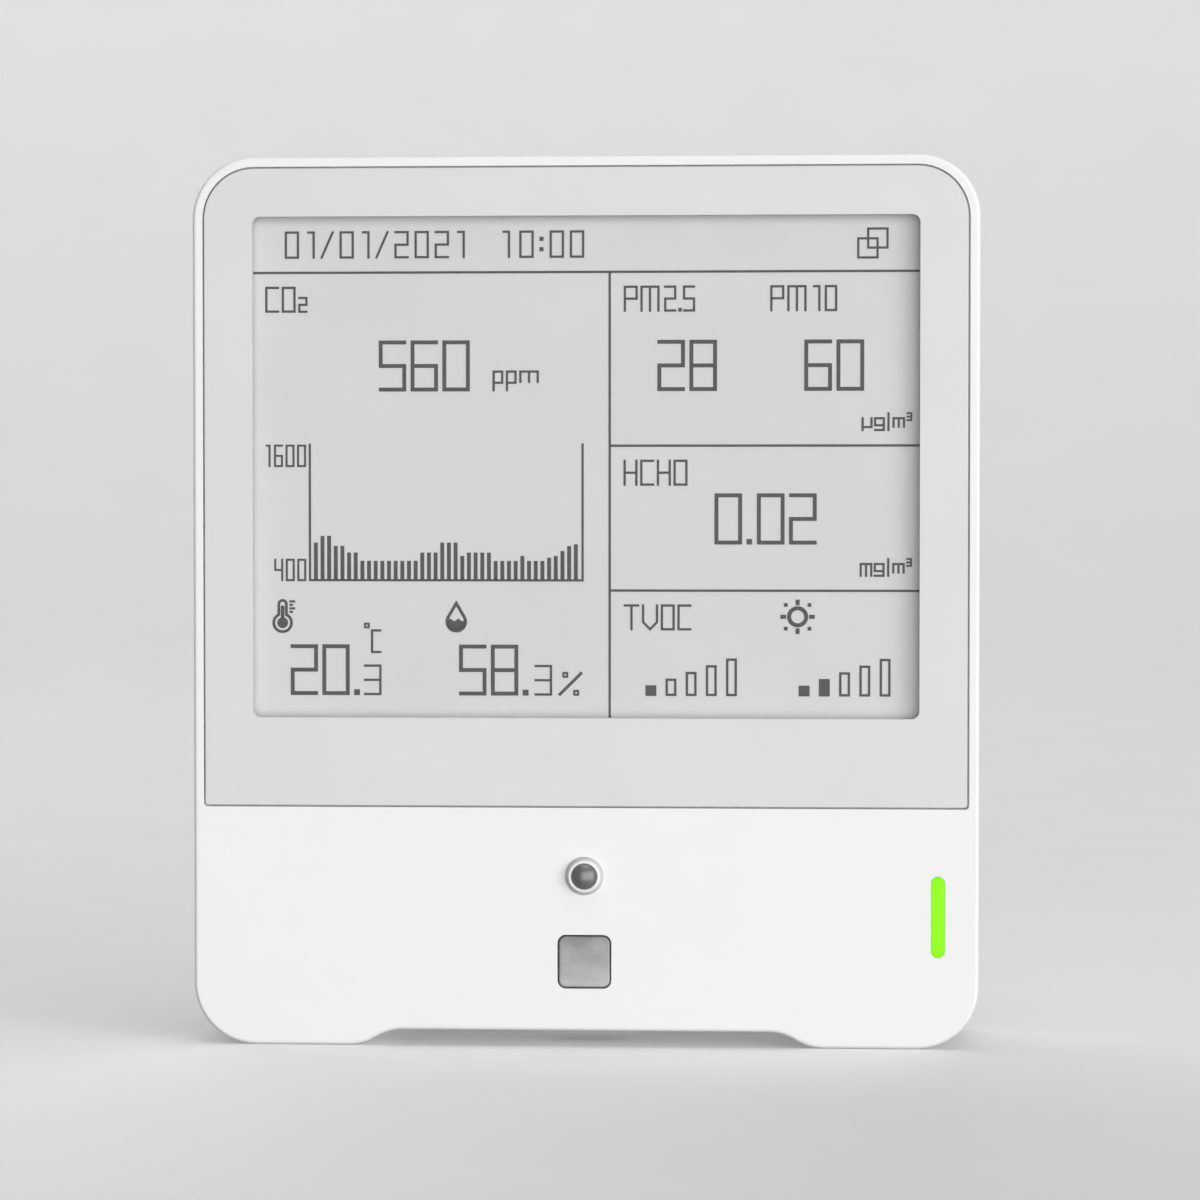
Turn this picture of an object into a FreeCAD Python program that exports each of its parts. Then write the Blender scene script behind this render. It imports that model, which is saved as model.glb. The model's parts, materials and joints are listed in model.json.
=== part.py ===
import FreeCAD, Part

import math
import os

# Air quality monitor for a desk or a wall, in millimetres.
# X runs to the right as the display is read, Z runs up and the front faces -Y.
# The origin is in the plane under the feet, in the middle of the width and of the depth.
# A "depth" is a distance behind the front face of the casing, so a depth below 0 stands proud.

# ------------------------------------------------------------------ driving dimensions
CASE_WIDTH = 100.0
CASE_HEIGHT = 113.2
CASE_DEPTH = 22.5
CASE_CORNER = 7.9
LENS_RISE = 1.55            # the sensor dome stands this far proud of the front face

NOTCH_RISE = 2.0            # clearance under the casing between the two feet
NOTCH_ROOF_X = 23.3         # half width of the flat roof of the notch
NOTCH_FOOT_X = 30.2         # where the flat sole of each foot begins

WALL = 1.6
FRONT_WALL = 1.8
FRONT_ROUND = 0.5
REAR_ROUND = 1.2
SPLIT = 10.6                # depth of the seam between the two shells
SEAM = 0.15
TOUCH = 0.02                # left between two pieces that rest on each other
BOND_GAP = 0.03             # round a piece that is bonded into its hole

PANEL_RIM = 1.42            # from the casing's edge to the middle of the panel's gap
PANEL_GAP = 0.23
PANEL_FOOT_Z = 30.58
PANEL_THICK = 0.95
PANEL_SEAT = 1.0            # depth of the recess that the panel is bonded into

WINDOW_WIDTH = 84.8         # active area of a 4.2 inch, 400 by 300 point display
WINDOW_HEIGHT = 63.7
WINDOW_FOOT_Z = 41.87
WINDOW_TOP_Z = WINDOW_FOOT_Z + WINDOW_HEIGHT
WINDOW_OVERLAP = 1.4        # the clear sheet reaches this far behind the panel
WINDOW_THICK = 0.7

BUTTON_Z = 10.85
BUTTON_SIZE = 6.5
BUTTON_HOLE = 6.85
BUTTON_CORNER = 0.9
BUTTON_TRAVEL = 0.3

LENS_Z = 21.8
LENS_RADIUS = 1.62

STATUS_X = 44.8
STATUS_Z = 16.8
STATUS_WIDTH = 1.74
STATUS_HEIGHT = 10.28

BOARD_FRONT = 4.6
BOARD_BACK = 6.2

CELL_RADIUS = 7.25          # AA size
CELL_LENGTH = 50.5
CELL_PITCH = 14.8
CELL_FIRST_Z = 57.3
CELL_COUNT = 4
CELL_DEPTH = 13.05
BAY_HALF_WIDTH = 27.9
BAY_FOOT_Z = 49.8
BAY_TOP_Z = 109.4
BAY_FLOOR = 5.5
BAY_WALL = 1.2

BACK_WALL_FRONT = 18.8
BACK_WALL_BACK = 20.4
RECESS_HALF_WIDTH = 46.0
RECESS_FOOT_Z = 10.5
RECESS_TOP_Z = 110.0
RECESS_CORNER = 5.0
BRACKET_GAP = 0.4           # round the bracket, in the recess
BRACKET_TRAVEL = 8.0
BRACKET_FRONT = 20.6
HOOK_X = 38.0
HOOK_HEIGHTS = (62.0, 100.0)
HOOK_STEM = 1.5
HOOK_HEAD = 3.1
HOOK_PLAY = 0.2             # between the hook's head and the wall behind it
HOOK_HEAD_THICK = 1.1
WALL_HOLE_SPACING = 60.0    # of the common wall box
WALL_HOLE_RADIUS = 2.25
WALL_HOLE_Z = 64.0

CASE_SCREWS = ((-42.5, 7.5), (42.5, 7.5), (-42.5, 105.7), (42.5, 105.7))
BOARD_SCREWS = ((-45.2, 26.0), (45.2, 26.0), (-14.0, 7.0), (14.0, 7.0))
FRAME_SCREWS = ((-30.0, 27.2), (30.0, 27.2))

FAN_X = 32.4
FAN_Z = 30.6
COUNTER_X = (5.2, 43.2)     # particle counter
COUNTER_Z = (12.6, 47.6)
COUNTER_FRONT = 6.4
COUNTER_BACK = 18.4

# ------------------------------------------------------------------ worked-out values
HALF_WIDTH = CASE_WIDTH / 2
FRONT_Y = LENS_RISE - (CASE_DEPTH + LENS_RISE) / 2
WINDOW_HALF = WINDOW_WIDTH / 2
ON_BOARD_FRONT = BOARD_FRONT - TOUCH    # parts on the board's front face end here
ON_BOARD = BOARD_BACK + TOUCH           # and those on its back face start here
TINY = 1e-6
V = FreeCAD.Vector


# ------------------------------------------------------------------ helpers
def y_at(depth):
    """Y of the plane that lies this far behind the front face."""
    return FRONT_Y + depth


def arc(x, z, radius, start, end):
    """A round stretch of an outline: its first, middle and last point, angles in degrees from +X to +Z."""
    angles = (math.radians(a) for a in (start, (start + end) / 2, end))
    return [V(x + radius * math.cos(a), 0, z + radius * math.sin(a)) for a in angles]


def outline(arcs):
    """Closed wire through arcs, with straight lines between them."""
    edges = []
    for here, after in zip(arcs, arcs[1:] + arcs[:1]):
        edges.append(Part.Arc(*here).toShape())
        if here[-1].distanceToPoint(after[0]) > TINY:
            edges.append(Part.makeLine(here[-1], after[0]))
    return Part.Wire(edges)


def rounded(x0, x1, z0, z1, radius, low_radius=None):
    """Rectangle with round corners. The two lower corners may have their own radius."""
    low = radius if low_radius is None else low_radius
    return outline([
        arc(x1 - low, z0 + low, low, 0, -90),
        arc(x0 + low, z0 + low, low, -90, -180),
        arc(x0 + radius, z1 - radius, radius, 180, 90),
        arc(x1 - radius, z1 - radius, radius, 90, 0),
    ])


def centred(x, z, width, height, radius):
    """Rounded rectangle about its middle."""
    return rounded(x - width / 2, x + width / 2, z - height / 2, z + height / 2, radius)


def plate(wire, front, back):
    """Solid with this outline between two depths."""
    face = Part.Face(wire)
    face.translate(V(0, y_at(front), 0))
    return face.extrude(V(0, back - front, 0))


def block(x0, x1, front, back, z0, z1):
    """Box between two X, two depths and two heights."""
    return Part.makeBox(x1 - x0, back - front, z1 - z0, V(x0, y_at(front), z0))


def rod(x, z, radius, front, back):
    """Cylinder along the depth direction."""
    return Part.makeCylinder(radius, back - front, V(x, y_at(front), z), V(0, 1, 0))


def turned(x, z, profile):
    """Solid of revolution about the depth direction. The profile is a list of (radius, depth) points."""
    points = [V(x + radius, y_at(depth), z) for radius, depth in profile]
    face = Part.Face(Part.makePolygon(points + points[:1]))
    return face.revolve(V(x, 0, z), V(0, 1, 0), 360)


def joined(shapes):
    """One solid from overlapping or touching shapes."""
    return shapes[0].multiFuse(shapes[1:]).removeSplitter()


def without(shape, cutters):
    return shape.cut(Part.makeCompound(cutters))


def rounded_edges(shape, radius, chosen):
    """Fillet the edges that the test accepts, from each edge's bounding box."""
    return shape.makeFillet(radius, [e for e in shape.Edges if chosen(e.BoundBox)])


def slot_along_x(x0, x1, front, back, z, height):
    """Solid with round ends that runs through a side wall: a vent slot's cutter."""
    radius = height / 2
    ends = [
        Part.makeCylinder(radius, x1 - x0, V(x0, y_at(depth), z), V(1, 0, 0))
        for depth in (front + radius, back - radius)
    ]
    return joined([block(x0, x1, front + radius, back - radius, z - radius, z + radius)] + ends)


def slot_along_z(x, width, front, back, z0, z1):
    """The same through the bottom wall."""
    radius = width / 2
    ends = [
        Part.makeCylinder(radius, z1 - z0, V(x, y_at(depth), z0))
        for depth in (front + radius, back - radius)
    ]
    return joined([block(x - radius, x + radius, front + radius, back - radius, z0, z1)] + ends)


def upright_oval(half_width, half_depth, middle_depth, z0, z1):
    """Upright solid on the middle line whose section is wide with round ends."""
    straight = half_width - half_depth
    ends = [
        Part.makeCylinder(half_depth, z1 - z0, V(x, y_at(middle_depth), z0))
        for x in (-straight, straight)
    ]
    middle = block(-straight, straight, middle_depth - half_depth, middle_depth + half_depth, z0, z1)
    return joined([middle] + ends)


def screw(x, z, seat, shank_radius, length, head_radius, head_height):
    """Pan-head screw driven from the back, with a cross recess."""
    shank = rod(x, z, shank_radius, seat - length, seat + head_height / 2)
    head = rod(x, z, head_radius, seat, seat + head_height)
    top_y = y_at(seat + head_height)
    head = rounded_edges(head, head_height * 0.4, lambda b: b.YMin > top_y - TINY)
    arm, blade = head_radius * 0.6, head_radius * 0.13
    floor = seat + head_height * 0.45
    cross = joined([
        block(x - arm, x + arm, floor, seat + head_height + 1, z - blade, z + blade),
        block(x - blade, x + blade, floor, seat + head_height + 1, z - arm, z + arm),
    ])
    return joined([shank, head]).cut(cross)


def lead(points, radius):
    """Round wire along a smooth curve through (x, depth, z) points."""
    places = [V(x, y_at(depth), z) for x, depth, z in points]
    curve = Part.BSplineCurve()
    curve.interpolate(places)
    start = curve.tangent(curve.FirstParameter)[0]
    ring = Part.Wire(Part.makeCircle(radius, places[0], start))
    return Part.Wire(curve.toShape()).makePipeShell([ring], True, False)


def strip(points, thickness, x0, x1):
    """Flat cable: a bent sheet whose middle line runs through (depth, z) points."""
    left, right = [], []
    for i, (depth, z) in enumerate(points):
        before = points[max(i - 1, 0)]
        after = points[min(i + 1, len(points) - 1)]
        along = V(0, after[0] - before[0], after[1] - before[1]).normalize()
        across = V(0, -along.z, along.y) * (thickness / 2)
        middle = V(x0, y_at(depth), z)
        left.append(middle + across)
        right.append(middle - across)
    ring = left + right[::-1]
    return Part.Face(Part.makePolygon(ring + ring[:1])).extrude(V(x1 - x0, 0, 0))


# ------------------------------------------------------------------ shared outlines
def case_outline(inset):
    """Outline of the casing, moved inwards by the inset, with the shallow notch between the feet.

    Each end of the notch is a foot arc and a roof arc of one radius that meet in a common tangent.
    """
    run = NOTCH_FOOT_X - NOTCH_ROOF_X
    slope = 2 * math.atan(NOTCH_RISE / run)
    bend = run / 2 / math.sin(slope)
    angle = math.degrees(slope)
    side = HALF_WIDTH - CASE_CORNER
    top = CASE_HEIGHT - CASE_CORNER
    radius = CASE_CORNER - inset
    return outline([
        arc(side, CASE_CORNER, radius, 0, -90),
        arc(NOTCH_FOOT_X, bend, bend - inset, 270, 270 - angle),
        arc(NOTCH_ROOF_X, NOTCH_RISE - bend, bend + inset, 90 - angle, 90),
        arc(-NOTCH_ROOF_X, NOTCH_RISE - bend, bend + inset, 90, 90 + angle),
        arc(-NOTCH_FOOT_X, bend, bend - inset, 270 + angle, 270),
        arc(-side, CASE_CORNER, radius, -90, -180),
        arc(-side, top, radius, 180, 90),
        arc(side, top, radius, 90, 0),
    ])


def panel_outline(grow):
    """Outline of the front panel: concentric with the casing at the top, nearly square below."""
    half = HALF_WIDTH - PANEL_RIM + grow
    return rounded(-half, half, PANEL_FOOT_Z - grow, CASE_HEIGHT - PANEL_RIM + grow,
                   CASE_CORNER - PANEL_RIM + grow, 0.45)


def window_outline(grow, radius):
    return rounded(-WINDOW_HALF - grow, WINDOW_HALF + grow,
                   WINDOW_FOOT_Z - grow, WINDOW_TOP_Z + grow, radius)


def case_ring(outer_inset, inner_inset, front, back):
    """Band that follows the casing's outline."""
    return plate(case_outline(outer_inset), front, back).cut(
        plate(case_outline(inner_inset), front - 1, back + 1))


# ------------------------------------------------------------------ casing
CASE_BOSS = 2.8
CASE_PILLAR = 3.2
CASE_PILOT = 1.15
BOARD_BOSS = 2.2
BOARD_PILOT = 0.9
FRAME_PILOT = 0.68
FRAME_TAB_FRONT = 2.7
FRAME_TAB_THICK = 0.7
FRAME_BACK = 4.37
FRAME_HALF_WIDTH = 46.9
FRAME_TOP_Z = 110.9
BOSS_END = 10.4
SCREW_SEAT = 13.0
USB_DEPTH = 7.85            # middle of the power inlet
USB_HALF_WIDTH = 4.47
USB_HALF_DEPTH = 1.6
COLLAR_SHANK = 2.2


def screw_boss(x, z):
    """Boss of the front shell for a case screw. The upper ones hang from webs behind the display."""
    if z < CASE_HEIGHT / 2:
        return rod(x, z, CASE_BOSS, FRONT_WALL - 0.5, BOSS_END)
    front = FRAME_BACK + 0.5
    side = math.copysign(HALF_WIDTH - WALL / 2, x)
    web = 0.7
    web_back = SPLIT - 2.2
    return joined([
        rod(x, z, CASE_BOSS, front, BOSS_END),
        block(min(x, side), max(x, side), front, web_back, z - web, z + web),
        block(x - web, x + web, front, web_back, z, CASE_HEIGHT - WALL / 2),
    ])


def front_shell():
    body = plate(case_outline(0), 0, SPLIT)
    body = rounded_edges(body, FRONT_ROUND, lambda b: b.YMax < FRONT_Y + TINY)
    body = body.cut(plate(case_outline(WALL), FRONT_WALL, SPLIT + 1))
    additions = [screw_boss(x, z) for x, z in CASE_SCREWS]
    additions += [rod(x, z, BOARD_BOSS, FRONT_WALL - 0.5, BOARD_FRONT - 0.05) for x, z in BOARD_SCREWS]
    additions += [rod(x, z, BOARD_BOSS, FRONT_WALL - 0.5, FRAME_TAB_FRONT - 0.05) for x, z in FRAME_SCREWS]
    # Two ledges on the top wall, behind the top edge of the display carrier.
    ledge_x = (31.5, 38.5)
    for side in (-1, 1):
        x0, x1 = sorted(side * x for x in ledge_x)
        additions.append(block(x0, x1, FRAME_BACK + 0.08, FRAME_BACK + 1.2,
                               FRAME_TOP_Z - 0.9, CASE_HEIGHT - WALL / 2))
    body = joined([body] + additions)
    cutters = [
        plate(panel_outline(PANEL_GAP / 2), -1, PANEL_SEAT),
        plate(window_outline(WINDOW_OVERLAP + 0.1, 1.6), 0, FRONT_WALL + 1),
        plate(centred(0, BUTTON_Z, BUTTON_HOLE, BUTTON_HOLE, BUTTON_CORNER + 0.15), -1, FRONT_WALL + 1),
        plate(centred(STATUS_X, STATUS_Z, STATUS_WIDTH + 2 * BOND_GAP, STATUS_HEIGHT + 2 * BOND_GAP,
                      STATUS_WIDTH / 2 + BOND_GAP), -1, FRONT_WALL + 1),
        rod(0, LENS_Z, COLLAR_SHANK + BOND_GAP, -1, FRONT_WALL + 1),
        usb_opening(),
    ]
    cutters += [rod(x, z, CASE_PILOT, 5.2, BOSS_END + 1) for x, z in CASE_SCREWS]
    cutters += [rod(x, z, BOARD_PILOT, FRONT_WALL + 0.1, BOARD_FRONT) for x, z in BOARD_SCREWS]
    cutters += [rod(x, z, FRAME_PILOT, 1.0, FRAME_TAB_FRONT) for x, z in FRAME_SCREWS]
    return without(body, cutters)


def usb_opening():
    """Cutter through the roof of the notch for the power plug."""
    margin = 0.28
    return upright_oval(USB_HALF_WIDTH + margin, USB_HALF_DEPTH + margin, USB_DEPTH,
                        NOTCH_RISE - 1, NOTCH_RISE + WALL + 1)


VENT_PITCH = 4.2
VENT_COUNT = 11
VENT_FIRST_Z = 16.0
VENT_FRONT = 13.0
VENT_BACK = 17.8
VENT_WIDTH = 1.4
LOWER_VENT_X = (8.0, 11.0, 14.0, 17.0, 20.0)


def vent_cutters():
    """Slots in both side walls and in the roof of the notch."""
    cutters = []
    for i in range(VENT_COUNT):
        z = VENT_FIRST_Z + i * VENT_PITCH
        for x0 in (-HALF_WIDTH - 1, HALF_WIDTH - WALL - 0.5):
            cutters.append(slot_along_x(x0, x0 + WALL + 1.5, VENT_FRONT, VENT_BACK, z, VENT_WIDTH))
    roof_z = NOTCH_RISE + WALL + 1
    for x in LOWER_VENT_X:
        for side in (-1, 1):
            cutters.append(slot_along_z(side * x, VENT_WIDTH, VENT_FRONT, VENT_BACK, 0, roof_z))
    return cutters


def key_slot(x, z):
    """Cutter for one hook of the bracket: a wide way in below, a narrow slot above it."""
    narrow = HOOK_STEM + 0.2
    z_in = z - BRACKET_TRAVEL
    front, back = BACK_WALL_FRONT - 1, BACK_WALL_BACK + 1
    return joined([
        rod(x, z_in, HOOK_HEAD + 0.4, front, back),
        rod(x, z, narrow, front, back),
        block(x - narrow, x + narrow, front, back, z_in, z),
    ])


def recess_outline(gap, foot_z):
    return rounded(-RECESS_HALF_WIDTH + gap, RECESS_HALF_WIDTH - gap, foot_z, RECESS_TOP_Z - gap,
                   RECESS_CORNER - gap)


def rear_shell():
    lip_gap, lip_inset, lip_length, step = 0.1, WALL + 1.1, 1.8, 2.0
    front = SPLIT + SEAM
    body = plate(case_outline(0), front, CASE_DEPTH)
    body = rounded_edges(body, REAR_ROUND, lambda b: b.YMin > y_at(CASE_DEPTH) - TINY)
    body = body.cut(plate(case_outline(WALL), front - 1, BACK_WALL_FRONT))
    # The lip enters the front shell and lines the two halves up.
    lip = case_ring(WALL + lip_gap, lip_inset, SPLIT - lip_length, front + step / 2)
    inlet_room = 6.0
    lip = lip.cut(block(-inlet_room, inlet_room, 0, front, 0, NOTCH_RISE + 8.0))
    additions = [case_ring(WALL / 2, lip_inset, front, front + step), lip]
    additions.append(block(-BAY_HALF_WIDTH - BAY_WALL, BAY_HALF_WIDTH + BAY_WALL,
                           BAY_FLOOR - 1.0, BACK_WALL_BACK, BAY_FOOT_Z - BAY_WALL, BAY_TOP_Z + BAY_WALL))
    additions += [rod(x, z, CASE_PILLAR, front, BACK_WALL_BACK) for x, z in CASE_SCREWS]
    body = joined([body] + additions)
    cutters = [
        plate(recess_outline(0, RECESS_FOOT_Z), BACK_WALL_BACK, CASE_DEPTH + 1),
        block(-BAY_HALF_WIDTH, BAY_HALF_WIDTH, BAY_FLOOR, CASE_DEPTH, BAY_FOOT_Z, BAY_TOP_Z),
    ]
    for x, z in CASE_SCREWS:
        cutters.append(rod(x, z, CASE_PILOT + 0.15, front - 1, SCREW_SEAT + 1))
        cutters.append(rod(x, z, 2.2, SCREW_SEAT, CASE_DEPTH + 1))
    for z in HOOK_HEIGHTS:
        cutters += [key_slot(-HOOK_X, z), key_slot(HOOK_X, z)]
    body = without(body, cutters + vent_cutters())
    # Low ribs keep the cells apart on the floor of the bay.
    rib_half_length, rib_height, rib_thick = 24.0, 2.5, 1.0
    ribs = []
    for i in range(CELL_COUNT - 1):
        z = CELL_FIRST_Z + (i + 0.5) * CELL_PITCH - rib_thick / 2
        ribs.append(block(-rib_half_length, rib_half_length, BAY_FLOOR - 0.5, BAY_FLOOR + rib_height,
                          z, z + rib_thick))
    return joined([body] + ribs)


def bracket_hook(x, z):
    """Mushroom hook: its stem stands in the narrow slot and its head is behind the wall."""
    head_back = BACK_WALL_FRONT - HOOK_PLAY
    head_front = head_back - HOOK_HEAD_THICK
    return joined([
        rod(x, z, HOOK_STEM, head_front, BRACKET_FRONT + 0.5),
        rod(x, z, HOOK_HEAD, head_front, head_back),
    ])


def wall_hole_centres():
    half = WALL_HOLE_SPACING / 2
    return ((-half, WALL_HOLE_Z), (half, WALL_HOLE_Z), (0, WALL_HOLE_Z - half), (0, WALL_HOLE_Z + half))


def wall_bracket():
    foot_z = RECESS_FOOT_Z + BRACKET_TRAVEL + 0.5
    body = plate(recess_outline(BRACKET_GAP, foot_z), BRACKET_FRONT, CASE_DEPTH)
    body = rounded_edges(body, 0.4, lambda b: b.YMin > y_at(CASE_DEPTH) - TINY)
    cutters = []
    # Shallow pockets lighten the face that lies on the wall.
    for x0, x1 in ((-42.0, -34.6), (-25.4, -4.6), (4.6, 25.4), (34.6, 42.0)):
        for z0, z1 in ((24.0, 58.0), (70.0, 104.0)):
            cutters.append(plate(rounded(x0, x1, z0, z1, 1.5), CASE_DEPTH - 0.8, CASE_DEPTH + 1))
    # A half-round cut at the foot leaves room for a thumb.
    cutters.append(rod(0, foot_z - 3, 9, BRACKET_FRONT - 1, CASE_DEPTH + 1))
    screw_head = 4.2
    for x, z in wall_hole_centres():
        cutters.append(rod(x, z, WALL_HOLE_RADIUS, BRACKET_FRONT - 1, CASE_DEPTH + 1))
        cutters.append(turned(x, z, [(0, BRACKET_FRONT - 0.5), (screw_head, BRACKET_FRONT - 0.5),
                                     (screw_head, BRACKET_FRONT), (WALL_HOLE_RADIUS, BRACKET_FRONT + 0.7),
                                     (0, BRACKET_FRONT + 0.7)]))
    body = without(body, cutters)
    hooks = [bracket_hook(side * HOOK_X, z) for side in (-1, 1) for z in HOOK_HEIGHTS]
    return joined([body] + hooks)


# ------------------------------------------------------------------ front: panel and display
def display_panel():
    body = plate(panel_outline(-PANEL_GAP / 2), 0, PANEL_THICK)
    return body.cut(plate(window_outline(0, 1.0), -1, PANEL_THICK + 1))


def display_window():
    front = PANEL_SEAT + TOUCH
    return plate(window_outline(WINDOW_OVERLAP, 1.5), front, front + WINDOW_THICK)


MODULE_HALF_WIDTH = 45.5
MODULE_FOOT_Z = 31.7
MODULE_TOP_Z = 108.7
MODULE_FRONT = 1.85
MODULE_BACK = 3.05
FILM_BACK = MODULE_FRONT + 0.5
CUSHION_BACK = MODULE_BACK + 0.5
CABLE_X = (-23.5, -11.5)
CABLE_THICK = 0.14


def epaper_display():
    """Glass back plate with the smaller front film on it; the cable is bonded to the ledge below the film."""
    film_margin = 1.1
    glass = block(-MODULE_HALF_WIDTH, MODULE_HALF_WIDTH, FILM_BACK, MODULE_BACK, MODULE_FOOT_Z, MODULE_TOP_Z)
    return joined([glass, plate(window_outline(film_margin, 0.3), MODULE_FRONT, FILM_BACK)])


def display_cushion():
    """Foam frame between the display and its carrier."""
    margin, width = 1.0, 5.0
    outer, inner = MODULE_HALF_WIDTH - margin, MODULE_HALF_WIDTH - margin - width
    foot_z, top_z = MODULE_FOOT_Z + margin, MODULE_TOP_Z - margin
    body = block(-outer, outer, MODULE_BACK + TOUCH, CUSHION_BACK, foot_z, top_z)
    return body.cut(block(-inner, inner, MODULE_BACK - 1, CUSHION_BACK + 1, foot_z + width, top_z - width))


def display_frame():
    """Carrier: a back plate with a rim round the display, and two screwed tabs below."""
    play, plate_front, rim_front, foot_z = 0.1, CUSHION_BACK + TOUCH, FRONT_WALL + 0.15, 30.2
    body = plate(rounded(-FRAME_HALF_WIDTH, FRAME_HALF_WIDTH, foot_z, FRAME_TOP_Z, 5.5, 1.0),
                 rim_front, FRAME_BACK)
    body = body.cut(block(-MODULE_HALF_WIDTH - play, MODULE_HALF_WIDTH + play, rim_front - 1, plate_front,
                          MODULE_FOOT_Z - play, MODULE_TOP_Z + play))
    # The cable leaves through a gap in the lower rim.
    body = body.cut(block(CABLE_X[0] - 1, CABLE_X[1] + 1, rim_front - 1, plate_front,
                          foot_z - 1, MODULE_FOOT_Z))
    # Round holes save material in the back plate.
    holes = [rod(x, z, 7.0, plate_front - 1, FRAME_BACK + 1) for x in (-28, 0, 28) for z in (52, 70, 88)]
    body = without(body, holes)
    tabs = []
    for x, z in FRAME_SCREWS:
        tab = joined([
            block(x - 3, x + 3, FRAME_TAB_FRONT, FRAME_TAB_FRONT + FRAME_TAB_THICK, z - 2.8, foot_z + 0.4),
            block(x - 3, x + 3, FRAME_TAB_FRONT, FRAME_BACK, foot_z - 0.8, foot_z + 0.4),
        ])
        tabs.append(tab.cut(rod(x, z, FRAME_PILOT + 0.2, FRAME_TAB_FRONT - 1, FRAME_BACK)))
    return joined([body] + tabs)


def display_cable():
    on_glass = FILM_BACK - TOUCH - CABLE_THICK / 2
    return strip([(on_glass, 33.5), (on_glass, 30.0), (2.6, 28.6), (3.6, 26.6), (3.9, 25.4), (3.9, 24.3)],
                 CABLE_THICK, *CABLE_X)


def display_connector():
    body = block(CABLE_X[0] - 0.7, CABLE_X[1] + 0.7, 3.3, ON_BOARD_FRONT, 21.5, 24.9)
    return body.cut(block(CABLE_X[0] - 0.1, CABLE_X[1] + 0.1, 3.75, 4.05, 24.1, 26))


# ------------------------------------------------------------------ front: dome, button and status bar
def sensor_collar():
    """Tapered ring on the front face, with a shank that is bonded into the shell."""
    base, rim, bore = 2.45, 1.98, LENS_RADIUS + BOND_GAP
    top = -0.95
    return turned(0, LENS_Z, [
        (bore, FRONT_WALL), (COLLAR_SHANK, FRONT_WALL), (COLLAR_SHANK, -0.01), (base, -0.01),
        (base - 0.06, -0.12), (rim + 0.05, top + 0.12), (rim - 0.06, top), (bore + 0.08, top),
        (bore, top + 0.1)])


def motion_lens():
    """Dome lens with a flange that stops it from behind."""
    edge = -0.82
    cap = LENS_RISE + edge
    radius = (LENS_RADIUS ** 2 + cap ** 2) / (2 * cap)
    dome = Part.makeSphere(radius, V(0, y_at(radius - LENS_RISE), LENS_Z))
    dome = dome.common(rod(0, LENS_Z, LENS_RADIUS, -LENS_RISE - 1, edge + 0.01))
    return joined([
        dome,
        rod(0, LENS_Z, LENS_RADIUS, edge, FRONT_WALL + 0.05),
        rod(0, LENS_Z, 2.9, FRONT_WALL + TOUCH, FRONT_WALL + 0.3),
    ])


def motion_sensor():
    half = 2.35
    return joined([
        block(-half, half, BOARD_FRONT - 1.4, ON_BOARD_FRONT, LENS_Z - half, LENS_Z + half),
        rod(0, LENS_Z, 1.9, FRONT_WALL + 0.45, BOARD_FRONT - 1.3),
    ])


CAP_FLANGE_FRONT = FRONT_WALL + 0.1
CAP_BACK = 2.98
SWITCH_FRONT = 3.4


def button_cap():
    """Square cap with an inner flange that keeps it in its hole and a foot that meets the switch."""
    front = -0.1
    cap = plate(centred(0, BUTTON_Z, BUTTON_SIZE, BUTTON_SIZE, BUTTON_CORNER), front, CAP_FLANGE_FRONT + 0.1)
    cap = rounded_edges(cap, 0.22, lambda b: b.YMax < y_at(front) + TINY)
    flange = plate(centred(0, BUTTON_Z, BUTTON_SIZE + 1.5, BUTTON_SIZE + 1.5, 1.2),
                   CAP_FLANGE_FRONT, CAP_FLANGE_FRONT + 0.6)
    return joined([cap, flange, rod(0, BUTTON_Z, 1.6, CAP_FLANGE_FRONT, CAP_BACK)])


PLUNGER_RADIUS = 1.0
PLUNGER_BACK = 3.9


def switch_plunger():
    return rod(0, BUTTON_Z, PLUNGER_RADIUS, CAP_BACK + TOUCH, PLUNGER_BACK)


def switch_body():
    half = 2.1
    body = plate(centred(0, BUTTON_Z, 2 * half, 2 * half, 0.4), SWITCH_FRONT, ON_BOARD_FRONT)
    body = body.cut(rod(0, BUTTON_Z, PLUNGER_RADIUS + 0.05, SWITCH_FRONT - 1,
                        PLUNGER_BACK + BUTTON_TRAVEL + 0.1))
    legs = [block(side * 2.5 - 0.5, side * 2.5 + 0.5, BOARD_FRONT - 0.2, ON_BOARD_FRONT,
                  BUTTON_Z + z - 0.3, BUTTON_Z + z + 0.3) for side in (-1, 1) for z in (-1.3, 1.3)]
    return joined([body] + legs)


LED_HEIGHTS = (STATUS_Z - 3.4, STATUS_Z + 3.4)
GUIDE_FLANGE_BACK = FRONT_WALL + 0.8


def status_light_guide():
    """Bar that is flush with the front, with a flange behind the wall and legs to the lamps."""
    bar = plate(centred(STATUS_X, STATUS_Z, STATUS_WIDTH, STATUS_HEIGHT, STATUS_WIDTH / 2),
                0, FRONT_WALL + 0.1)
    flange = plate(centred(STATUS_X, STATUS_Z, 3.0, 11.8, 0.8), FRONT_WALL + 0.05, GUIDE_FLANGE_BACK)
    legs = [block(STATUS_X - 0.7, STATUS_X + 0.7, GUIDE_FLANGE_BACK - 0.1, BOARD_FRONT - 0.7, z - 1, z + 1)
            for z in LED_HEIGHTS + (STATUS_Z,)]
    return joined([bar, flange] + legs)


def status_leds():
    lamps = []
    for z in LED_HEIGHTS:
        lamps.append(joined([
            block(STATUS_X - 1.4, STATUS_X + 1.4, BOARD_FRONT - 0.4, ON_BOARD_FRONT, z - 0.8, z + 0.8),
            block(STATUS_X - 0.8, STATUS_X + 0.8, BOARD_FRONT - 0.62, BOARD_FRONT - 0.3, z - 0.7, z + 0.7),
        ]))
    return Part.makeCompound(lamps)


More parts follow.
